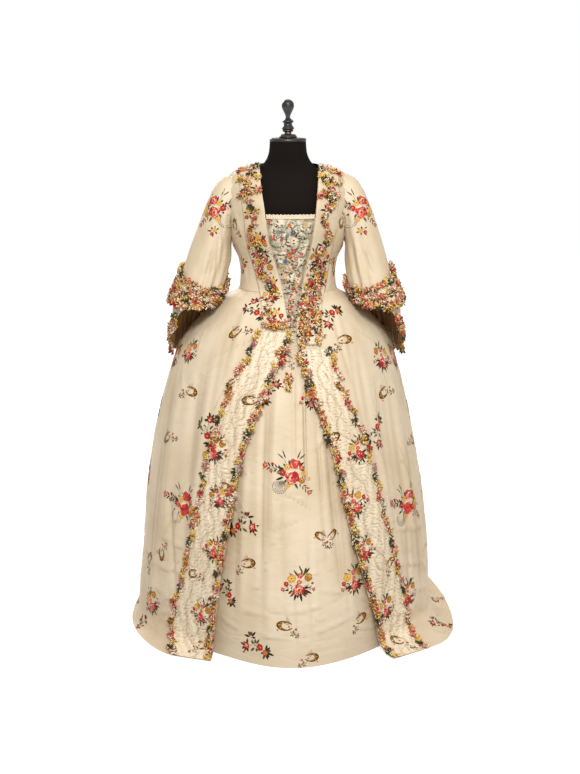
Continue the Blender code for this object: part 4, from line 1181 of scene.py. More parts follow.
# %% A line of fringe
def add_fringe(name, cloth, path, stands_for, every=0.026, aside=0.01, long=LOCK_LONG, tufts=(2, 4),
        lift=0.002, first=0):
    """Groups of tufts along a line; every is from group to group and aside from the cord to a tuft's knot."""
    step, locks = 0.002, 15  # between the points of the cord, and in each tuft
    line, out = along(cloth, path, step, lift)
    ahead = unit(np.gradient(line, axis=0))
    side = unit(np.cross(ahead, out))
    knots, hands, hues = [], [], []
    place, group = 0.3 * every, first
    while place < step * (len(line) - 1):
        count = int(chance.integers(tufts[0], tufts[1] + 1))
        for k in range(count):
            far = place + (k - (count - 1) / 2) * TUFT_GAP + chance.uniform(-0.002, 0.002)
            knots.append(int(np.clip(far / step, 0, len(line) - 1)))
            hands.append(-1 if group % 2 else 1)
            hues.append(group % len(HUES))
        place += every * chance.uniform(0.8, 1.2)
        group += 1
    knots, hands, hues = np.array(knots), np.array(hands, float), np.array(hues)
    many = len(knots) * locks
    at, hand, hue = np.repeat(knots, locks), np.repeat(hands, locks)[:, None], np.repeat(hues, locks)
    far = aside * chance.uniform(-0.45, 0.95, (len(knots), 1))
    root = np.repeat(line[knots] + side[knots] * hands[:, None] * far, locks, 0)
    fan = chance.uniform(-2.7, 2.7, (many, 1))
    outward = out[at] * chance.uniform(0.1, 1.1, (many, 1))
    ways = unit(side[at] * hand * np.cos(fan) + ahead[at] * np.sin(fan) + outward)
    size = long * chance.uniform(0.7, 1.15, (many, 1))
    thick = chance.uniform(0.0013, 0.0024, (many, 1)) * long / LOCK_LONG
    a = unit(np.cross(ways, out[at] + 0.01))
    b = np.cross(ways, a)
    droop = np.array([0.0, 0.0, -0.0012])
    rings = []
    for far, girth, sag in ((0.08, 0.5, 0.0), (0.68, 1.2, 0.6)):
        for k in range(3):
            turn = 2 * math.pi * k / 3
            spoke = (a * math.cos(turn) + b * math.sin(turn)) * thick * girth
            rings.append(root + ways * size * far + spoke + droop * sag)
    rings.append(root + ways * size + droop)
    points = [np.stack(rings, 1).reshape(-1, 3)]
    points[0][:, 2] = np.maximum(points[0][:, 2], FLOOR_CLEAR)
    faces = [[LOCK_CORNERS * k + corner for corner in face] for k in range(many) for face in LOCK_FACES]
    names = sorted(FLOSS)
    pairs = np.array([[names.index(x), names.index(y)] for x, y in HUES])
    main = pairs[hue, (chance.random(many) < 0.4).astype(int)]
    stray = chance.random(many)
    main = np.where(stray < 0.13, names.index("cream"), np.where(stray > 0.9, names.index("umber"), main))
    colours = list(np.repeat(main, len(LOCK_FACES)))
    start, places = len(points[0]), range(0, len(line), 3)
    points += [np.stack([line[i] + side[i] * CORD_THIN, line[i] + out[i] * CORD_THIN * 2,
        line[i] - side[i] * CORD_THIN]) for i in places]
    for k in range(len(places) - 1):
        i = start + 3 * k
        faces += [[i, i + 1, i + 4, i + 3], [i + 1, i + 2, i + 5, i + 4]]
        colours += [names.index("cream")] * 2
    used = sorted(set(colours))
    return add_object(name, np.concatenate(points), faces, [floss[names[c]] for c in used],
        of=[used.index(c) for c in colours], stands_for=stands_for)

# %% [markdown]
# ## The dress form
#
# A limbless torso with a flat, capped neck, covered in black cotton. Its cap and finial are turned from wood
# on a lathe and painted, with a brass collar. Rings of points from a table of levels give all of them,
# because every level of the torso is an oval too, only deeper ahead than behind.

# %% The dress form
def add_turned(name, rings, material, segments=64):
    """A closed body from rows of half width, depth ahead, depth behind and height."""
    points, faces = [], []
    for wide, ahead, behind, z in rings:
        for k in range(segments):
            angle = 2 * math.pi * k / segments
            deep = ahead if math.sin(angle) < 0 else behind
            points.append((wide * math.cos(angle), deep * math.sin(angle), z))
    for i in range(len(rings) - 1):
        for k in range(segments):
            n = (k + 1) % segments
            faces.append((i * segments + k, i * segments + n, (i + 1) * segments + n, (i + 1) * segments + k))
    faces.append(tuple(reversed(range(segments))))
    faces.append(tuple(range((len(rings) - 1) * segments, len(rings) * segments)))
    body = add_object(name, points, faces, [material], stands_for=[name.replace("_shown", "")])
    body.data.polygons[-1].use_smooth = body.data.polygons[-2].use_smooth = False
    return body


def turned(profile, base):
    """The rows of a round piece from (radius, height above the base) pairs."""
    return [(radius, radius, radius, base + height) for radius, height in profile]


def finer(profile, count):
    """The same profile with smooth steps between its points."""
    places = list(range(len(profile)))
    steps = [min(x, places[-1]) for x in np.linspace(0, places[-1], count)]
    columns = list(zip(*profile))
    return [tuple(smooth(places, column, float(x)) for column in columns) for x in steps]


torso = [(wide, front, back, z) for z, wide, front, back in finer(FORM, 80)]
add_turned("form_torso_shown", torso, form_cotton, 96)
add_turned("form_neck_cap_shown", finer(NECK_CAP, 10), form_paint)
knob = NECK_CAP[-1][-1] + PIECE_GAP
add_turned("form_finial_base_shown", turned(finer(FINIAL_BASE, 10), knob), form_paint)
knob += FINIAL_BASE[-1][-1] + PIECE_GAP
add_turned("form_collar_shown", turned(COLLAR, knob), form_brass)
knob += COLLAR[-1][-1] + PIECE_GAP
add_turned("form_finial_shown", turned(finer(FINIAL, 60), knob), form_paint)
for name in ("form_pole", "form_foot"):
    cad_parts[name].data.materials.clear()
    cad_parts[name].data.materials.append(form_paint)
print("form on its pole and foot, its knob", round(knob + FINIAL[-1][1], 3), "m high")

# %% [markdown]
# ## The petticoat
#
# A tube of five widths of silk, each about 55 cm wide, pleated into a waistband. Silk stiff enough to stand
# keeps soft upright folds, so those are in the surface, and a table adds the creases that packing and wear
# have pressed in. Painted shade darkens its lower front beside the bands.

# %% The petticoat
front_turns = spaced(-84, -34, 50)[:-1] + spaced(-34, 34, 200) + spaced(34, 84, 50)[1:]
turns = [-180 + a for a in spaced(0, 92, 24)] + front_turns + [180 - a for a in spaced(92, 0, 24)]
tube = Cloth(lambda a, z: petticoat_point(a - 180, -z), [a + 180 for a in turns],
    spaced(-0.995, -0.0006, 150), outward=-1, wrap=True)
crease(tube, [
    (0.043, 0.8, 0.049, 0.46, 3.2, 5.5), (0.083, 0.62, 0.092, 0.45, 3.6, 3.6),
    (0.016, 0.84, 0.012, 0.5, 8, -2.0), (-0.03, 0.8, -0.052, 0.3, 12, 3.5),
    (-0.065, 0.74, -0.085, 0.2, 10, -3.0), (0.085, 0.72, 0.115, 0.25, 12, 3.5),
    (0.105, 0.66, 0.15, 0.15, 9, -3.0),
    (-0.115, 0.62, -0.14, 0.1, 12, 3.0), (0.0, 0.66, 0.004, 0.12, 16, 2.2), (0.07, 0.4, 0.076, 0.05, 14, 2.4),
    (0.16, 0.5, 0.18, 0.08, 12, 2.6), (-0.05, 0.34, -0.06, 0.04, 12, 2.0), (0.03, 0.3, 0.034, 0.03, 10, 1.8),
    (-0.02, 0.155, 0.11, 0.17, 6, 1.6), (-0.13, 0.15, -0.04, 0.14, 6, 1.5), (0.06, 0.095, 0.19, 0.12, 6, 1.6),
    (-0.09, 0.09, 0.02, 0.08, 5, 1.4), (0.09, 0.21, 0.18, 0.19, 6, 1.5), (-0.11, 0.215, -0.06, 0.225, 5, 1.3),
    (0.02, 0.24, 0.09, 0.262, 6, 1.2),
    (0.215, 0.36, 0.236, 0.06, 9, 3.2), (0.246, 0.3, 0.262, 0.03, 8, -3.0),
    (0.192, 0.185, 0.262, 0.12, 7, 2.2),
    (0.196, 0.085, 0.268, 0.055, 6, 2.0), (-0.205, 0.42, -0.226, 0.08, 9, 3.0),
    (-0.19, 0.11, -0.13, 0.085, 6, 1.8), (0.064, 0.585, 0.12, 0.64, 6, 1.6),
    (0.02, 0.7, 0.046, 0.76, 6, 1.8)])
crumple(tube, 130, 0.45, 0.97)
height_of = -tube.v
# Painted shade on the lower front of the petticoat, beside each band.
for side in (-1, 1):
    beside = np.array([side * edge_x(side, z) for z in height_of])[:, None] - side * tube.p[..., 0]
    streaks = 0.75 + 0.25 * waves(tube.v, side, (0.13, 0.07))
    shade_beside_bands = np.exp(-((beside / 0.036) ** 2)) * (ramp((0.55 - height_of) / 0.4) * streaks)[:, None]
    shade_beside_bands = shade_beside_bands * (tube.p[..., 1] < 0)
    tube.shade = np.maximum(tube.shade, (0.26 + 0.08 * side) * shade_beside_bands)
crumple(tube, 90, 0.1, 0.6, lean=85, long=(0.06, 0.2), deep=1.4)
petticoat = add_cloth("petticoat_silk", tube, gown_silk, stands_for=["petticoat"])
print("petticoat", tube.p.shape[:2])

# %% The petticoat's flowers
flowers = Brocade(tube)
place_all(flowers, (
        ("basket", -0.002, 0.537), ("posy", 0.031, 0.234),
        ("posy", 0.186, 0.222, 0.95, 8), ("spray", -0.13, 0.381, 1.05),
        ("spray", -0.089, 0.052, 1.05, 10, True), ("plume", -0.105, 0.279, 1.0, 14),
        ("plume", 0.087, 0.362, 0.8, -34, True), ("plume", 0.127, 0.362, 0.8, 34),
        ("plume", -0.013, 0.121, 1.0, -8, True), ("plume", 0.209, 0.104, 1.0, 20),
        ("posy", 0.07, 0.728, 0.8), ("spray", -0.052, 0.745, 0.9, 40),
        ("plume", -0.006, 0.838, 0.75, -30, True), ("spray", -0.17, 0.19, 0.9, -20, True),
        ("plume", 0.07, 0.03, 0.9)))
petticoat_flowers = flowers.add("petticoat_brocading")
tail = add_fringe("fringe_tail", tube, [(180.0, -z) for z in spaced(0.788, 0.752, 5)], [], every=0.016,
    aside=0.006, tufts=(3, 5), first=3)
print(len(flowers.shapes), "shapes of floss on the petticoat")

# %% [markdown]
# ## The skirt sides
#
# Each side is two widths of silk, pleated in at the hip. It falls in soft folds, then turns out on the floor
# into the train. No two hems lie alike, so each side has its own table of creases and of flowers.

# %% Creases and flowers of the skirt sides
SIDES = ((-1, "L"), (1, "R"))
SIDE_CREASES = {
    -1: ((-0.305, 0.8, -0.385, 0.16, 14, 3.2), (-0.25, 0.84, -0.33, 0.12, 16, -3.0),
         (-0.2, 0.86, -0.29, 0.3, 14, 3.0),
         (-0.16, 0.9, -0.235, 0.5, 12, 2.2), (-0.345, 0.62, -0.41, 0.08, 10, 3.0),
         (-0.12, 0.96, -0.18, 0.74, 10, 2.4),
         (-0.34, 0.45, -0.33, 0.1, 8, -2.4), (-0.375, 0.3, -0.29, 0.28, 6, 1.6),
         (-0.39, 0.2, -0.31, 0.215, 6, 1.8),
         (-0.4, 0.14, -0.33, 0.12, 6, 1.6)),
    1: ((0.29, 0.8, 0.385, 0.16, 14, 3.2), (0.245, 0.84, 0.335, 0.12, 16, -3.0),
        (0.2, 0.86, 0.3, 0.3, 14, 3.0),
        (0.17, 0.9, 0.25, 0.5, 12, 2.2), (0.345, 0.62, 0.405, 0.08, 10, 3.0),
        (0.13, 0.96, 0.19, 0.74, 10, 2.4),
        (0.35, 0.42, 0.36, 0.06, 8, 2.4), (0.31, 0.33, 0.4, 0.3, 6, 1.8), (0.32, 0.23, 0.4, 0.19, 6, 1.8),
        (0.33, 0.15, 0.42, 0.1, 6, 1.8), (0.3, 0.09, 0.38, 0.075, 6, 1.4)),
}
SIDE_FLOWERS = {
    -1: (("basket", -0.305, 0.408), ("posy", -0.281, 0.826, 0.8, 10),
         ("spray", -0.227, 0.625, 1.1, 80), ("spray", -0.092, 0.955, 0.95, 110),
         ("plume", -0.149, 0.893, 1.0, 55, True), ("plume", -0.27, 0.726, 1.0, -10),
         ("plume", -0.35, 0.58, 1.0, 40, True), ("plume", -0.405, 0.216, 1.0, 60),
         ("plume", -0.366, 0.237, 0.9, 90, True), ("posy", -0.402, 0.085, 0.9, 30),
         ("posy", -0.4, 0.64, 0.85)),
    1: (("basket", 0.336, 0.391), ("posy", 0.27, 0.812, 0.95, -10, True),
        ("spray", 0.252, 0.62, 1.1, 90, True), ("spray", 0.118, 0.942, 1.0, 60, True),
        ("plume", 0.164, 0.877), ("plume", 0.271, 0.719, 1.0, 30, True),
        ("plume", 0.365, 0.554, 0.9, -30), ("posy", 0.345, 0.125),
        ("posy", 0.425, 0.64, 0.85, 0, True)),
}


print(len(SIDE_CREASES[1]), "creases and", len(SIDE_FLOWERS[1]), "flowers on the right side")

# %% The skirts' edges
UNDERLAP = 0.014  # how far the cloth runs on under the sack back
PAST_EDGE = 1.02  # the u where that cloth ends
HEM_ROWS = [1.98, 1.992, 2.0]


def hem_turned(point, v):
    """The hem turns down to the floor at its very edge."""
    if v > 1.985:
        point.z *= 0.25 if v > 1.995 else 0.8
    return point


def side_edge(side, u, v):
    """A skirt side with its turned hem and, past u = 1, the cloth under the sack back."""
    point = skirt_point(side, min(u, 1.0), v)
    if u > 1:
        point += (point - skirt_point(side, 0.98, v)).normalized() * UNDERLAP * (u - 1) / (PAST_EDGE - 1)
    return hem_turned(point, v)


def ripples(cloth, seed, deep):
    """Fine upright ripples that deepen towards the hem, the same on any cloth of the skirts."""
    x, y, z = (cloth.p[..., k] for k in range(3))
    angle = np.arctan2(x, -(y - 0.03)) * 180 / np.pi
    return deep * ramp(1 - z / WAIST) * waves(angle + 6 * np.sin(z * 5 + seed), seed, (23.0, 13.7, 8.9))


print("the skirts run on", 1000 * UNDERLAP, "mm under the sack back")

# %% The skirt sides
PAINTED_TRAIN_SHADE_HIGH = 0.16
PAINTED_TRAIN_SHADE = {-1: 0.34, 1: 0.14}  # how dark the painted shade is at the hem of each side
side_columns = spaced(0, 0.25, 40) + spaced(0.25, 0.6, 80)[1:] + spaced(0.6, 1, 60)[1:] + [1.01, PAST_EDGE]
above_waist = (WAIST_ROW + 0.007, WAIST_ROW + 0.003)
side_rows = [wall_v(z) for z in (*above_waist, *np.linspace(WAIST_ROW, BEND_HIGH + WALL, 120))]
side_rows += spaced(1.0, 1.96, 24)[1:] + HEM_ROWS
skirt_cloth, skirts, trimmings = {}, {}, {}
for side, letter in SIDES:
    cloth = Cloth(partial(side_edge, side), side_columns, side_rows, outward=-side)
    upright = np.clip((cloth.p[..., 2] - 0.02) / 0.05, 0.15, 1)
    back_edge = ramp((0.985 - cloth.u) / 0.05)[None, :]
    behind = ramp((cloth.u - 0.45) / 0.2)[None, :]
    ripple = back_edge * ripples(cloth, 2.0 + side, 0.0032) * (1 + 1.2 * behind)
    cloth.swell(upright * ripple)
    crease(cloth, [(*line[:5], 1.5 * line[5]) for line in SIDE_CREASES[side]])
    # Painted shade on the trains, darker towards the floor and on the left side.
    painted_train_shade = ramp((PAINTED_TRAIN_SHADE_HIGH - cloth.p[..., 2]) / PAINTED_TRAIN_SHADE_HIGH) * PAINTED_TRAIN_SHADE[side]
    cloth.shade = np.maximum(cloth.shade, 0.2 * behind * ramp(-ripple / 0.004))
    cloth.shade = np.maximum(cloth.shade, painted_train_shade * (1 + 0.4 * waves(cloth.p[..., 0], 1.0, (0.17, 0.09))))
    crumple(cloth, 60, 0.45, 0.92)
    crumple(cloth, 36, 0.05, 0.6, lean=80, long=(0.08, 0.24), deep=1.6)
    crumple(cloth, 60, 0.7, 0.98, lean=20, long=(0.05, 0.14), deep=2.1)
    skirt_cloth[side] = cloth
    skirts[side] = add_cloth("skirt_silk_" + letter, cloth, gown_silk, stands_for=["skirt_side_" + letter])
    flowers = Brocade(cloth)
    place_all(flowers, SIDE_FLOWERS[side])
    behind_rows = ((0.8, "posy"), (0.62, "plume"), (0.44, "basket"), (0.26, "spray"), (0.1, "posy"))
    for row, (z, kind) in enumerate(behind_rows):
        for u in (0.62 + 0.07 * (row % 2), 0.86):
            flowers.place(kind, 0, 0, 0.95, 0, side > 0, uv=(u, wall_v(z)))
    for u, v, kind in ((0.47, 1.55, "spray"), (0.66, 1.5, "plume"), (0.82, 1.5, "posy"),
            (0.94, 1.6, "basket")):
        flowers.place(kind, 0, 0, 0.9, 0, side > 0, uv=(u, v))
    trimmings[side] = [flowers.add("skirt_brocading_" + letter)]
print("skirt sides", skirt_cloth[1].p.shape[:2])

# %% [markdown]
# ## The gathered bands
#
# A strip of the same silk about one and a half times as long as the edge is gathered on three threads, one
# near each side and one that crosses the strip to and fro, with a second crossing thread here and there,
# then drawn up. The cloth sinks at the threads and puffs up between them in soft slanting wrinkles, and
# painted shade draws thin brown lines where the crossing threads sink it. A simulation rarely settles the
# same way twice, so the height of each point follows from its distance to the nearest thread: small pleats
# beside it, large ones further away. Fly fringe covers both sides.

# %% Gathering threads
THREAD_LOOP = 0.152  # the crossing thread is back at the same side after this length of the band
SMALL_PLEAT, LARGE_PLEAT = 0.0074, 0.0108  # from pleat to pleat, beside a thread and away from it
PUFF_OPEN = 0.021  # this far from every thread a puff is fully open


def thread_away(across, down, wide, seed):
    """The distance in metres from each point of the strip to the thread that crosses it to and fro."""
    run = np.linspace(down[0] - 0.02, down[-1] + 0.02, 4000)
    loop = THREAD_LOOP + 0.014 * np.sin(9 * run + seed)
    to_and_fro = np.tanh(1.8 * np.sin(2 * np.pi * run / loop + seed))
    swing = wide * (0.5 + 0.17 * to_and_fro + 0.03 * np.sin(71 * run + 5 * seed))
    rows = []
    for place in down:
        near = np.abs(run - place) < 0.04
        aside = across[:, None] * wide - swing[None, near]
        rows.append(np.hypot(aside, place - run[None, near]).min(1))
    return np.array(rows)


def ruched(across, down, wide, high, seed):
    """Heights of a strip gathered along its threads, and the painted shade along the crossing threads."""
    s, t = np.meshgrid(across, down)
    away, other = thread_away(across, down, wide, seed), thread_away(across, down, wide, seed + 2.3)
    tacked = ramp(2 * waves(t, seed, (0.27,)))  # where the second crossing thread is drawn tight
    side_threads = wide * np.minimum(np.abs(s - 0.06), np.abs(s - 0.94))
    gap = np.minimum(np.minimum(away, other / (0.3 + 0.7 * tacked)), side_threads)
    open_way = ramp(gap / PUFF_OPEN)
    open_way = open_way**2 * (3 - 2 * open_way)
    small = t / SMALL_PLEAT + 0.8 * waves(t + 0.1 * s, seed, (0.061, 0.037, 0.023))
    slant = 1.6 * (s - 0.5) * np.sin(2 * np.pi * t / THREAD_LOOP + seed + 0.8)
    large = t / LARGE_PLEAT + 0.9 * slant + 1.0 * waves(t + 0.06 * s, seed + 3, (0.093, 0.051))
    large = large + 0.5 * np.sin(5 * s + 11 * t)
    pleats_small = np.abs(np.sin(np.pi * small)) ** 0.45
    pleats_large = np.abs(np.sin(np.pi * large)) ** 0.4
    uneven = 0.8 + 0.25 * waves(t + 0.3 * s, seed + 5, (0.17, 0.071))
    puffs = open_way * (0.22 + 0.46 * pleats_large)
    heights = uneven * high * (0.16 + 0.4 * (1 - open_way) * pleats_small + puffs)
    first, second = np.exp(-((away / 0.0014) ** 2)), np.exp(-((other / 0.0013) ** 2))
    return heights, np.maximum(first, 0.4 * tacked * second)


def hollows(heights):
    """How far each point lies below the points around it, from 0 to 1: the shade in the tight creases."""
    around = heights.copy()
    for _ in range(6):
        around[1:-1] = (around[:-2] + around[1:-1] + around[2:]) / 3
        around[:, 1:-1] = (around[:, :-2] + around[:, 1:-1] + around[:, 2:]) / 3
    return ramp((around - heights) / 0.0012) ** 1.4 * 0.8


print("the crossing thread swings every", 1000 * THREAD_LOOP, "mm")

# %% The gathered bands
BAND_PUFF = 0.0088  # how high the puffs may stand
BAND_LIES = 0.0016  # between the band's lowest points and the skirt
BAND_FLOWERS = {
    -1: (("plume", -0.11, 0.724, 1.0, 20, True), ("plume", -0.172, 0.486, 0.9),
         ("posy", -0.205, 0.585, 0.95, 10),
         ("posy", -0.19, 0.455, 0.8, 30, True), ("posy", -0.206, 0.311, 0.85),
         ("plume", -0.272, 0.225, 0.9, 30, True),
         ("posy", -0.245, 0.123, 0.85), ("plume", -0.24, 0.03, 0.9)),
    1: (("plume", 0.128, 0.623), ("posy", 0.196, 0.58, 0.9), ("posy", 0.187, 0.438, 1.0, 10, True),
        ("posy", 0.213, 0.303, 0.9), ("plume", 0.292, 0.247, 0.8, 30), ("posy", 0.277, 0.118, 0.85),
        ("plume", 0.305, 0.021, 0.9, 0, True)),
}
for side, letter in SIDES:
    base = skirt_cloth[side]
    top = wall_v(BAND_TOP[side])
    down = spaced(top, 1.99, 700)
    cloth = Cloth(lambda u, v: base.at(u, v)[0][0], spaced(*BAND_SPAN, 44), down, outward=-side)
    metres = np.append(0, np.cumsum(np.linalg.norm(np.diff(cloth.p[:, 22], axis=0), axis=1)))
    heights, thread = ruched(np.linspace(0, 1, 44), metres, BAND_WIDE, BAND_PUFF, 1.3 * side)
    # Painted shade in the tight creases and along the sunken crossing threads.
    cloth.shade = np.maximum(hollows(heights), 0.62 * thread)
    cloth.swell(BAND_LIES + heights * np.clip((metres[-1] - metres) / 0.03, 0.1, 1)[:, None])
    add_cloth("band_silk_" + letter, cloth, band_silk,
        stands_for=["furbelow_" + letter])
    flowers = Brocade(cloth, 0.0005)
    place_all(flowers, BAND_FLOWERS[side], grain=True)
    band_flowers = flowers.add("band_brocading_" + letter, "band_silk")
    for k, (line, u) in enumerate(BAND_FRINGE.items()):
        path = [(u, v) for v in spaced(top, 1.984, 60)]
        add_fringe(f"fringe_{line}_{letter}", base, path, [f"fringe_skirt_{line}_{letter}"],
            first=5 * k + side + 2, lift=0.0045, every=0.02 if line == "inner" else 0.026)
print("bands of", len(down), "rows, the right one", round(metres[-1], 2), "m long when gathered")

# %% [markdown]
# ## The sack back
#
# Two double box pleats are stitched flat from the neck to the shoulder blades, then fall loose and open into
# round folds, ending in the train. One sheet makes them all, as in the real gown: its cross-section is a
# line that folds back under itself at every edge and is let out little by little below the shoulder blades.

# %% The pleats of the sack back
PLEATS_OPEN = 0.74  # below this height the pleats are fully open
PLEATS_OPENING = 0.44  # they are crisp this much above it


def pleat_line():
    """Half a cross-section of the stitched pleats: shares of the cloth's width, how far out each lies and how
    high. The cloth folds back under itself at every edge."""
    half = [(0, 0), (0.165, 0.02), (0.165, 0.2), (0.085, 0.24), (0.085, 0.52), (0.27, 0.56), (0.27, 0.72),
            (0.2, 0.76), (0.2, 1.0)]
    corners = np.array(half + [(1 - out, high) for out, high in reversed(half)])
    length = np.append(0, np.cumsum(np.hypot(np.diff(corners[:, 0]) * 0.1, np.diff(corners[:, 1]) * 0.012)))
    shares = np.linspace(0, 1, 400)
    line = np.stack([np.interp(shares * length[-1], length, corners[:, k]) for k in (0, 1)], 1)
    for _ in range(12):
        line[1:-1] = (line[:-2] + line[1:-1] + line[2:]) / 3
    return shares, line[:, 0], line[:, 1]


PLEAT_SHARE, PLEAT_OUT, PLEAT_HIGH = pleat_line()


def sack_edge(share, v):
    """The pleats are crisp to the shoulder blades and open below; the side edges lap onto the gown there."""
    z = SACK_TOP - SACK_DROP * min(v, 1.0)
    crisp = held((z - PLEATS_OPEN) / PLEATS_OPENING) ** 0.8
    folded = float(np.interp(abs(share), PLEAT_SHARE, PLEAT_OUT))
    across = math.copysign(mix(abs(share), folded, crisp), share)
    point = sack_point(across, v)
    a, edge = abs(across), max(0.0, (abs(share) - 0.965) / 0.035)
    if v <= 1:
        high = 1.45 * float(np.interp(abs(share), PLEAT_SHARE, PLEAT_HIGH))
        point.y += crisp * sack("fold", z) * (high - bump(a, 0.5, 0.44) - 0.45 * bump(a, 0.5, 0.22))
        point.y -= 0.0068 * edge**2 * held((z - WAIST + 0.05) / 0.05)
        point.y += 0.0012 * edge
    else:
        corner = sack_point(math.copysign(1.0, across), v)
        point.y += (sack_point(0.0, v).y - corner.y) * (a**2 - a**2.8)
        point.z += 0.0008 * edge
    if z < WAIST:
        point.x += math.copysign(0.005 * edge, share)
    return hem_turned(point, v)


print("the pleats fold", PLEAT_SHARE.size, "points into", round(PLEAT_OUT.max(), 2), "of the width")

# %% The sack back
FOLD_DEEP = 0.011
rows = [(SACK_TOP - z) / SACK_DROP for z in np.linspace(SACK_TOP, BEND_HIGH + WALL, 100)]
sack_cloth = Cloth(sack_edge, spaced(-1, 1, 261), rows + spaced(1.0, 1.96, 30)[1:] + HEM_ROWS, outward=1)
z = sack_cloth.p[..., 2]
fall = ramp((1.0 - z) / 0.8) * np.clip((z - 0.02) / 0.05, 0.2, 1)
out, high = (np.interp(np.abs(sack_cloth.u), PLEAT_SHARE, line) for line in (PLEAT_OUT, PLEAT_HIGH))
beside = np.abs(np.abs(out - 0.5) - np.where(high < 0.1, 0.425, 0.31))
crisp = ramp((z - PLEATS_OPEN) / PLEATS_OPENING)
sack_cloth.shade = 0.65 * crisp * (np.exp(-beside / 0.025) * (high < 0.66))[None, :]
inner = ramp((0.97 - np.abs(sack_cloth.u)) / 0.08)[None, :]
folds = waves(0.45 * sack_cloth.u[None, :] + 0.01 * np.sin(6 * z), 4.0, (0.19, 0.117, 0.071))
sack_cloth.swell(FOLD_DEEP * fall * inner * folds)
sack_cloth.shade = np.maximum(sack_cloth.shade, 0.24 * fall * inner * ramp(-folds))
trained = ramp(sack_cloth.v - 1)[:, None]
sack_cloth.p[..., 2] += 0.009 * trained * (1.15 - trained) * 2 * inner * ramp(folds)
sack_cloth.turn_out()
crumple(sack_cloth, 60, 0.55, 0.95)
crumple(sack_cloth, 30, 0.15, 0.6, lean=88, long=(0.1, 0.3), deep=1.6)
sack_back = add_cloth("sack_silk", sack_cloth, gown_silk, stands_for=["sack_back"])
print("sack back", sack_cloth.p.shape[:2])

# %% The flowers on the sack back
flowers = Brocade(sack_cloth)
for row, z in enumerate((1.26, 1.12, 0.98, 0.83, 0.68, 0.52, 0.36, 0.2, 0.08)):
    kinds = ("basket", "plume") if row % 2 else ("plume", "posy", "plume")
    places = (-0.5, 0.5) if row % 2 or z > 1 else (-0.75, 0.0, 0.75)
    for k, across in enumerate(places):
        size, v = 0.85 if z > 1.0 else 1.0, (SACK_TOP - z) / SACK_DROP
        flowers.place(kinds[k % len(kinds)], 0, 0, size, 12 * (k - 1), k > 0, uv=(across, v))
for across, v, kind in ((-0.6, 1.35, "posy"), (0.05, 1.5, "basket"), (0.62, 1.35, "spray"),
        (-0.3, 1.75, "plume"), (0.4, 1.8, "plume")):
    flowers.place(kind, 0, 0, 0.9, 0, across > 0, uv=(across, v))
sack_flowers = flowers.add("sack_brocading")
print(len(flowers.shapes), "shapes of floss on the sack back")

# %% [markdown]
# ## The bodice, the robings and their fringe
#
# The bodice is cut close. Each robing is a folded strip laid from the shoulder down the front edge, and its
# fly fringe wanders from side to side. The wearer's left robing runs on lower than the right one. The
# robings have a real thickness, because their folded edges catch the light, and the bodice has a few drag
# lines at the arm.

# %% Helpers for the robings
def robing_row(side, z):
    """The v of a robing at height z."""
    low = ROBING_END[side]
    return math.degrees(math.asin(held((z - low) / (SHOULDER - low)))) / 90


FRINGE_BEND = {-1: 1.283, 1: 1.16}  # a height where the fringe is at the outer side of each robing
FRINGE_SWING = 0.11  # from one such height to the next


def robing_path(side):
    """The fringe wanders down the middle of the robing."""
    path = []
    for z in spaced(SHOULDER - 0.045, ROBING_END[side] + 0.01, 150):
        turn = 2 * math.pi * (z - FRINGE_BEND[side]) / FRINGE_SWING
        path.append((0.52 - 0.02 * side + 0.19 * math.cos(turn), robing_row(side, z)))
    return path


ROBING_FLOWERS = {
    -1: (("posy", 1.128, 0.52, 0.92, 0), ("posy", 1.072, 0.66, 0.85, 30), ("small", 1.16, 0.35, 1.2, 0),
         ("small", 1.03, 0.3, 1.1, 40),
         ("posy", 0.99, 0.55, 0.7, -20), ("small", 0.95, 0.35, 1.2, 0), ("small", 1.3, 0.6, 1.2, 20),
         ("small", 1.23, 0.75, 1.0, 70)),
    1: (("posy", 1.095, 0.45, 0.92, 10), ("posy", 1.045, 0.62, 0.85, -30), ("small", 1.135, 0.55, 1.2, 0),
        ("posy", 0.985, 0.4, 0.8, 0),
        ("posy", 0.93, 0.55, 0.8, 40), ("small", 0.89, 0.4, 1.2, 0), ("small", 1.24, 0.5, 1.2, 20),
        ("small", 1.31, 0.6, 1.1, 60)),
}


def back_over(side, u, v):
    """The back of the bodice, its shoulder seam carried forward under the robing."""
    point = bodice_back(side, u, min(v, 1.0))
    point.y -= 0.22 * max(0.0, v - 1)
    point.z += 0.02 * max(0.0, v - 1)
    return point


def short_row(letter, name, strip, path, **settings):
    """A short line of fringe across a robing."""
    return add_fringe(f"fringe_{name}_{letter}", strip, path, [], **settings)

# %% The bodice
def add_bodice(side, letter):
    """A bodice front with its flowers, and the back beside it."""
    front = Cloth(partial(bodice_front, side), spaced(0, 1, 40), spaced(0, 1, 60), outward=side)
    crease(front, [(side * 0.118, 1.02, side * 0.126, 1.12, 7, 2.0),
        (side * 0.128, 1.16, side * 0.15, 1.24, 8, 1.6), (side * 0.1, 1.0, side * 0.135, 1.03, 6, 1.2)])
    bodice = add_cloth("bodice_silk_" + letter, front, gown_silk, stands_for=["bodice_front_" + letter])
    flowers = Brocade(front)
    place_all(flowers,
        (("small", side * 0.128, 1.081, 1.0, 20 * side, False),
        ("small", side * 0.131, 1.055, 0.9, -40 * side, False),
        ("plume", side * 0.15, 1.19, 0.8, 90, side > 0)))
    pinned = flowers.add("bodice_brocading_" + letter)
    back = Cloth(partial(back_over, side), spaced(0, 1, 40), spaced(0, 1, 60) + [1.02, 1.05], outward=side)
    backed = add_cloth("bodice_back_silk_" + letter, back, gown_silk, stands_for=["bodice_back_" + letter])
    return bodice

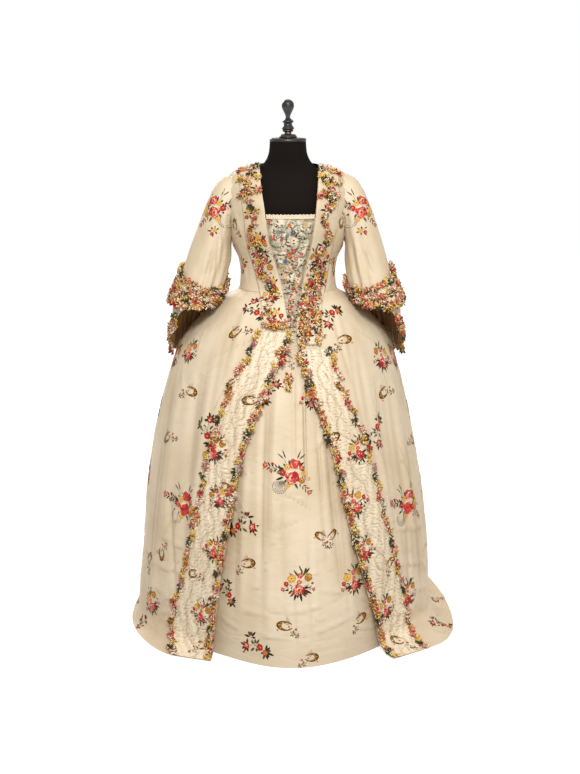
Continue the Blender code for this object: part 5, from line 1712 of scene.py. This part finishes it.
# %% The robings
for side, letter in SIDES:
    bodice = add_bodice(side, letter)
    strip = Cloth(partial(robing_point, side), spaced(0, 1, 22), spaced(0, 1, 170), outward=side)
    u, v = strip.u[None, :], strip.v[:, None]
    edge = np.exp(-(((u - 0.12) / 0.05) ** 2)) + 0.6 * np.exp(-(((u - 0.93) / 0.05) ** 2))
    hug = ramp((u - 0.8) / 0.2) ** 2 * ramp((v - 0.25) / 0.1)
    uneven = waves(0.47 * v + 0.02 * u, side, (0.12, 0.05))
    strip.swell(ROBING_LIES + 0.0008 - 0.0022 * hug + 0.0006 * edge + 0.0009 * uneven)
    robing = add_cloth("robing_silk_" + letter, strip, gown_silk, thick=0.0009,
        stands_for=["robing_" + letter])
    flowers = Brocade(strip, 0.0004)
    for kind, z, share, size, turn in ROBING_FLOWERS[side]:
        flowers.place(kind, 0, 0, size, turn * side, side > 0, uv=(share, robing_row(side, z)))
    laid = flowers.add("robing_brocading_" + letter)
    trims = [laid, add_fringe("fringe_robing_shown_" + letter, strip, robing_path(side),
        ["fringe_robing_" + letter], every=0.019, first=5 + side, lift=0.0012, aside=0.008, long=0.0125)]
    closing = [(u, 0.004) for u in spaced(1.0, 0.05, 12)]
    if side > 0:
        closing = [(0.22, v) for v in spaced(0.22, 0.0, 12)]
    dense = {"every": 0.015, "lift": 0.002, "tufts": (3, 5)}
    trims.append(short_row(letter, "robing_end", strip, closing, first=4 + side, **dense))
    if side > 0:
        turn = [(mix(0.42, 0.97, k / 11), mix(0.3, 0.004, (k / 11) ** 0.8)) for k in range(12)]
        trims.append(short_row(letter, "robing_turn", strip, turn, first=2, **dense))
    for k, v in enumerate((0.64, 0.76, 0.87)):
        row = [(u, v) for u in spaced(0.08, 1.0, 12)]
        trims.append(short_row(letter, f"shoulder_{k}", strip, row, every=0.016, first=k, lift=0.0012,
            tufts=(3, 4)))
print("robings", strip.p.shape[:2], "with", len(trims), "trimmings on the right one")

# %% [markdown]
# ## The stomacher
#
# The triangle between the front edges is a silver-grey brocade, gathered across in puffs, with a narrow
# frill of cream silk at its top. It is gathered as the bands are, but on level threads, so each puff is a
# swag with lobes in it, and the swags of one row stand between those of the next. The puffs go flat where
# the gown covers them.

# %% The stomacher
PUFF_TALL, LOBE_WIDE = 0.052, 0.05


def edges_at(levels):
    """The x of the left and of the right front edge at each of these heights."""
    return [np.array([edge_x(side, float(z)) for z in levels])[:, None] for side in (-1, 1)]


stomach = Cloth(lambda a, z: stomacher_point(a, -z), spaced(-1, 1, 70),
    spaced(-STOMACHER_TOP, -STOMACHER_POINT, 150), outward=-1)
x, level = stomach.p[..., 0], -stomach.v[:, None]
left_edge, right_edge = edges_at(-stomach.v)
inside = ramp((np.minimum(x - left_edge, right_edge - x) - 0.003) / 0.01)
swag = (STOMACHER_TOP - level) / PUFF_TALL + 0.22 * np.cos(x * 34 + 1.0)
swag = swag + 0.05 * waves(x, 2.0, (0.031, 0.053))
puffed = np.abs(np.sin(np.pi * swag)) ** 0.55
shifted = 0.5 * (np.floor(swag) % 2) + 0.15 * np.sin(70 * level)
lobes = np.abs(np.sin(np.pi * (x / LOBE_WIDE + shifted))) ** 0.5
small = np.abs(np.sin(np.pi * (x / 0.0095 + 0.5 * np.sin(70 * level)))) ** 0.5
cross = waves(level + 0.3 * x, 3.0, (0.017, 0.011, 0.029))
puffs = 0.0078 * puffed * (0.3 + 0.7 * lobes)
heights = inside * (0.0006 + puffs + 0.0014 * (1 - puffed) * small + 0.0006 * cross)
stomach.shade = ramp(0.9 * hollows(heights) + 0.45 * ramp((1.08 - level) / 0.25))
stomach.swell(STOMACHER_LIES + heights)
stomacher = add_cloth("stomacher_brocade", stomach, stomacher_silk,
    stands_for=["stomacher"])
print("stomacher", stomach.p.shape[:2], "with puffs up to", round(1000 * heights.max(), 1), "mm high")

# %% The stomacher's flowers
flowers = Brocade(stomach, 0.0004)
hues = (("blue", "dove", "gold"), ("rose", "blush", "gold"), ("sea", "cream", "blue"),
    ("coral", "gold", "wine"), ("gold", "lemon", "coral"), ("crimson", "rose", "gold"))
for k in range(60):
    z = STOMACHER_TOP - 0.012 - 0.285 * (k / 60) ** 1.25
    low, high = edge_x(-1, z) + 0.008, edge_x(1, z) - 0.008
    x = low + (high - low) * ((k * 0.618) % 1.0)
    cool = z > 1.09  # the cool hues and larger flowers are in the upper part
    outer, inner, heart = hues[int(chance.integers(0, 5))] if cool else hues[int(chance.integers(3, 6))]
    size = chance.uniform(5.0, 9.0) if cool else chance.uniform(3.6, 6.0)
    turns = (20 + 50 * k, 110 + 50 * k, 235 + 50 * k)[: 1 + k % 3]
    bunch = leaves_round(0, 0, 4, turns, 10, 3.6, ("moss", "umber", "ink", "sea")[k % 4])
    bunch += stalk(("umber", "dove", "ink")[k % 3], arc(0, 0, 15, 20 + 70 * k, 160 + 70 * k, 8, 0.6), 1.6)
    if k % 3 < 2:
        bunch += bloom(0, 0, size, 6, outer, inner, heart, 33.0 * k)
    flowers.place(bunch, x, z, 1.0, 0)
stomacher_flowers = flowers.add("stomacher_brocading", "stomacher_silk")
print(len(flowers.shapes), "shapes of floss on the stomacher")

# %% The frill
def frill_point(across, v):
    """A narrow strip that stands along the stomacher's top in small waves."""
    z = STOMACHER_TOP - 0.003 + (FRILL_HIGH + 0.001) * v
    x = mix(edge_x(-1, z) + 0.002, edge_x(1, z) - 0.002, (across + 1) / 2)
    lean = 0.0035 + v * (0.0012 + 0.0016 * cosd(180 * 21 * (across + 1))) + 0.0004 * math.cos(9 * across)
    lift = 0.0008 * cosd(180 * 13 * (across + 1))
    return Vector((x, front_y(x, z) - lean, z + v * lift))


frill_cloth = Cloth(frill_point, spaced(-1, 1, 260), spaced(0, 1, 7), outward=1)
frill = add_cloth("frill_silk", frill_cloth, band_silk, thick=0.0004,
    stands_for=["stomacher_frill"])
print("frill", round(1000 * FRILL_HIGH), "mm high")

# %% [markdown]
# ## The sleeves
#
# Elbow sleeves set smoothly at the shoulder, with drag folds in the bend of the arm. A gathered band covers
# the sleeve's end, with a line of fringe on both sides and one down its middle. One flounce hangs below it,
# short in the bend and long behind. Each of the three is a tube of its own, as they are separate pieces in
# the real gown.

# %% The sleeves
def sleeve_point(side, angle, t):
    """The sleeve, its first rows tucked under the armhole edge of the bodice."""
    point = arm_point(side, angle, max(0.0, t))
    if t < 0:
        middle = (arm_point(side, angle, 0.0) + arm_point(side, angle + 180, 0.0)) / 2
        point = point + (middle - point) * (-t) * 0.9
        point.x += side * t * 0.16
    return point


def add_sleeve(side, letter):
    """A sleeve with its drag folds and flowers."""
    rows = [-0.09, -0.04] + spaced(0, 1, 100)
    cloth = Cloth(partial(sleeve_point, side), spaced(0, 360, 121), rows, outward=-side, wrap=True)
    turn, far = np.meshgrid(np.radians(cloth.u), cloth.v)
    bend = np.exp(-(((turn - math.radians(235)) / 0.55) ** 2))
    pull = np.sin(26 * turn / 2 + 5 * far) * ramp((far - 0.3) / 0.5) * ramp((1.05 - far) / 0.12)
    cloth.swell(0.0012 * np.cos(15 * turn) * np.exp(-far / 0.03) + 0.003 * bend * pull + 0.001
        * np.sin(3 * turn + 4 * far + side))
    crease(cloth, [(side * 0.19, 1.16, side * 0.205, 1.035, 6, 2.6),
        (side * 0.212, 1.12, side * 0.235, 1.045, 8, -2.2), (side * 0.205, 1.2, side * 0.262, 1.06, 10, 1.4),
        (side * 0.176, 1.25, side * 0.185, 1.12, 7, 1.8)])
    sleeve = add_cloth("sleeve_silk_" + letter, cloth, gown_silk, stands_for=["sleeve_" + letter])
    flowers = Brocade(cloth)
    flowers.place("basket", side * 0.196, 1.236, 0.92, 0, side < 0)
    flowers.place("small", side * 0.21, 1.17, 0.9, 20, side < 0)
    flowers.place("posy", side * 0.23, 1.19, 0.9, 0, behind=True)
    flowers.place("plume", side * 0.25, 1.09, 0.9, 20, side > 0, behind=True)
    sleeve_flowers = flowers.add("sleeve_brocading_" + letter)
    return sleeve

# %% Their gathered bands
CUFF_START, CUFF_WIDE, CUFF_PUFF, CUFF_LIES = 0.945, 0.056, 0.0062, 0.0035
CUFF_LINES = (("top", 0.955, 2), ("middle", 1.055, 5), ("bottom", 1.165, 6))  # place down the arm, first hue


def add_cuff(side, letter):
    """A gathered band round the end of a sleeve, with its flowers and three lines of fringe."""
    cloth = Cloth(partial(arm_point, side), spaced(0, 360, 241), spaced(CUFF_START, CUFF_END + 0.02, 30),
        outward=-side, wrap=True)
    around = np.append(0, np.cumsum(np.linalg.norm(np.diff(cloth.p[15], axis=0), axis=1)))
    heights = ruched(np.linspace(0, 1, 30), around, CUFF_WIDE, CUFF_PUFF, side * 2.0)[0].T
    heights[:, -1] = heights[:, 0]
    cloth.shade = hollows(heights)
    cloth.swell(CUFF_LIES + heights)
    cuff = add_cloth("cuff_silk_" + letter, cloth, band_silk, stands_for=["cuff_" + letter])
    flowers = Brocade(cloth, 0.0005)
    for k in range(9):
        flowers.place("small", 0, 0, 0.9, 60 * k, k % 2 > 0, uv=(20 + 40 * k, 1.06 + 0.02 * (k % 3)))
    cuff_flowers = flowers.add("cuff_brocading_" + letter, "band_silk")
    for line, t, first in CUFF_LINES:
        path = [(a, t) for a in spaced(0, 359.9, 60)]
        stands_for = [] if line == "middle" else [f"fringe_cuff_{line}_{letter}"]
        add_fringe(f"fringe_{line}_shown_{letter}", cloth, path, stands_for, every=0.015,
            first=first + side, lift=0.001 if line == "middle" else 0.002, long=0.0145 if line == "bottom"
            else 0.0125, tufts=(3, 4))

# %% The flounces, and all three pieces on both sides
def add_flounce(side, letter):
    """The flounce below a sleeve, its edge in fine waves, with two lines of fringe."""
    cloth = Cloth(partial(flounce_point, side), spaced(0, 360, 145), spaced(0, 1, 36), outward=-side,
        wrap=True)
    turn, far = np.meshgrid(np.radians(cloth.u), cloth.v)
    hang = ramp((far - FLOUNCE_HANGS) / 0.4)
    cloth.swell(0.0022 * hang * np.sin(24 * turn) * ramp(np.cos((turn - math.radians(60)) / 2)))
    fall_silk = add_cloth("flounce_silk_" + letter, cloth, gown_silk, thick=0.0006,
        stands_for=["sleeve_flounce_" + letter], inside=lining_painted_shade)
    edge_path = [(a, 0.985) for a in spaced(-68, 138, 70)]
    edging = add_fringe("fringe_flounce_shown_" + letter, cloth, edge_path, ["fringe_flounce_" + letter],
        every=0.0145, first=9 + side, lift=0.002, tufts=(3, 5), aside=0.0115)
    inner_path = [(a, 0.84) for a in spaced(-60, 125, 60)]
    inner = add_fringe("fringe_flounce_inner_" + letter, cloth, inner_path, [], every=0.018, first=3 + side,
        lift=0.002, tufts=(2, 4))


for side, letter in SIDES:
    sleeve = add_sleeve(side, letter)
    add_cuff(side, letter)
    add_flounce(side, letter)
print("sleeves, cuffs and flounces on both sides")

# %% [markdown]
# ## Light, floor and camera
#
# A white studio: even light from all round, one soft light high ahead, a weaker one on the right and one
# behind for the pleats of the back. Area lights are used because a gown is shown under soft boxes, not bare
# lamps. The floor glows a little, so that it stays pale right up to the hem.

# %% The studio
def add_light(name, place, aim, size, power, colour):
    lamp = bpy.data.lights.new(name, "AREA")
    lamp.size, lamp.energy, lamp.color = size, power, colour
    light = bpy.data.objects.new(name, lamp)
    light.location = place
    light.rotation_euler = (Vector(aim) - Vector(place)).to_track_quat("-Z", "Y").to_euler()
    bpy.context.scene.collection.objects.link(light)


SOFT_WHITE = (1.0, 0.985, 0.95)
LIGHTS = (  # name, place, aim, size in metres, power in watts
    ("key", (0.15, -4.1, 3.9), (0.05, 0, 0.85), 1.0, 176),
    ("fill", (2.2, -3.8, 2.2), (0, 0, 0.7), 1.4, 18),
    ("back", (-1.7, 4.2, 2.8), (0, 0, 0.8), 1.2, 70))
for light in LIGHTS:
    add_light(*light, SOFT_WHITE)
scene = bpy.context.scene
scene.view_settings.view_transform = "Standard"
world = bpy.data.worlds.new("studio")
world.use_nodes = True
tree = world.node_tree
seen = node(tree, "ShaderNodeLightPath").outputs["Is Camera Ray"]
way = node(tree, "ShaderNodeTexCoord").outputs["Generated"]
height = node(tree, "ShaderNodeSeparateXYZ", {}, {"Vector": way}).outputs["Z"]
dome = node(tree, "ShaderNodeMapRange", {"From Min": -1.0, "To Min": 0.2, "To Max": 0.96},
            {"Value": height}).outputs["Result"]
shown = node(tree, "ShaderNodeMath", {"operation": "MAXIMUM"}, {}).outputs["Value"]
tree.links.new(dome, tree.nodes["Math"].inputs[0])
tree.links.new(seen, tree.nodes["Math"].inputs[1])
warm = node(tree, "ShaderNodeMix", {"data_type": "RGBA"}, {"Factor": dome})
warm.inputs[MIX_A].default_value, warm.inputs[MIX_B].default_value = linear("#F0DCC2"), linear("#FFFFFF")
white = node(tree, "ShaderNodeMix", {"data_type": "RGBA"}, {"Factor": seen})
tree.links.new(warm.outputs[MIX_RESULT], white.inputs[MIX_A])
white.inputs[MIX_B].default_value = linear("#FFFFFF")
tree.links.new(white.outputs[MIX_RESULT], tree.nodes["Background"].inputs["Color"])
tree.links.new(shown, tree.nodes["Background"].inputs["Strength"])
scene.world = world
print(len(LIGHTS), "lights, the key of", LIGHTS[0][-1], "W")

# %% The floor and the camera
FLOOR_HALF, FLOOR_DOWN = 9, 0.0005
LENS, CAMERA_PLACE, CAMERA_DOWN = 67.8, (0.006, -4.2, 1.6), 12.03  # mm, metres, degrees below level
floor_mesh = bpy.data.meshes.new("floor")
corners = [(x * FLOOR_HALF, y * FLOOR_HALF, -FLOOR_DOWN) for x, y in ((-1, -1), (1, -1), (1, 1), (-1, 1))]
floor_mesh.from_pydata(corners, [], [(0, 1, 2, 3)])
floor = bpy.data.objects.new("floor", floor_mesh)
floor_mesh.materials.append(plain("floor", "#D6D6D6", Roughness=0.9, Emission_Color=linear("#FFFFFF"),
    Emission_Strength=0.62))
scene.collection.objects.link(floor)
floor.visible_diffuse = False

camera = bpy.data.objects.new("camera", bpy.data.cameras.new("camera"))
camera.data.sensor_width = 36
camera.data.lens = LENS
camera.location = CAMERA_PLACE
camera.rotation_euler = (math.radians(90 - CAMERA_DOWN), 0, 0)
scene.collection.objects.link(camera)
scene.camera = camera
print("camera with a lens of", LENS, "mm,", -CAMERA_PLACE[1], "m ahead of the pole")
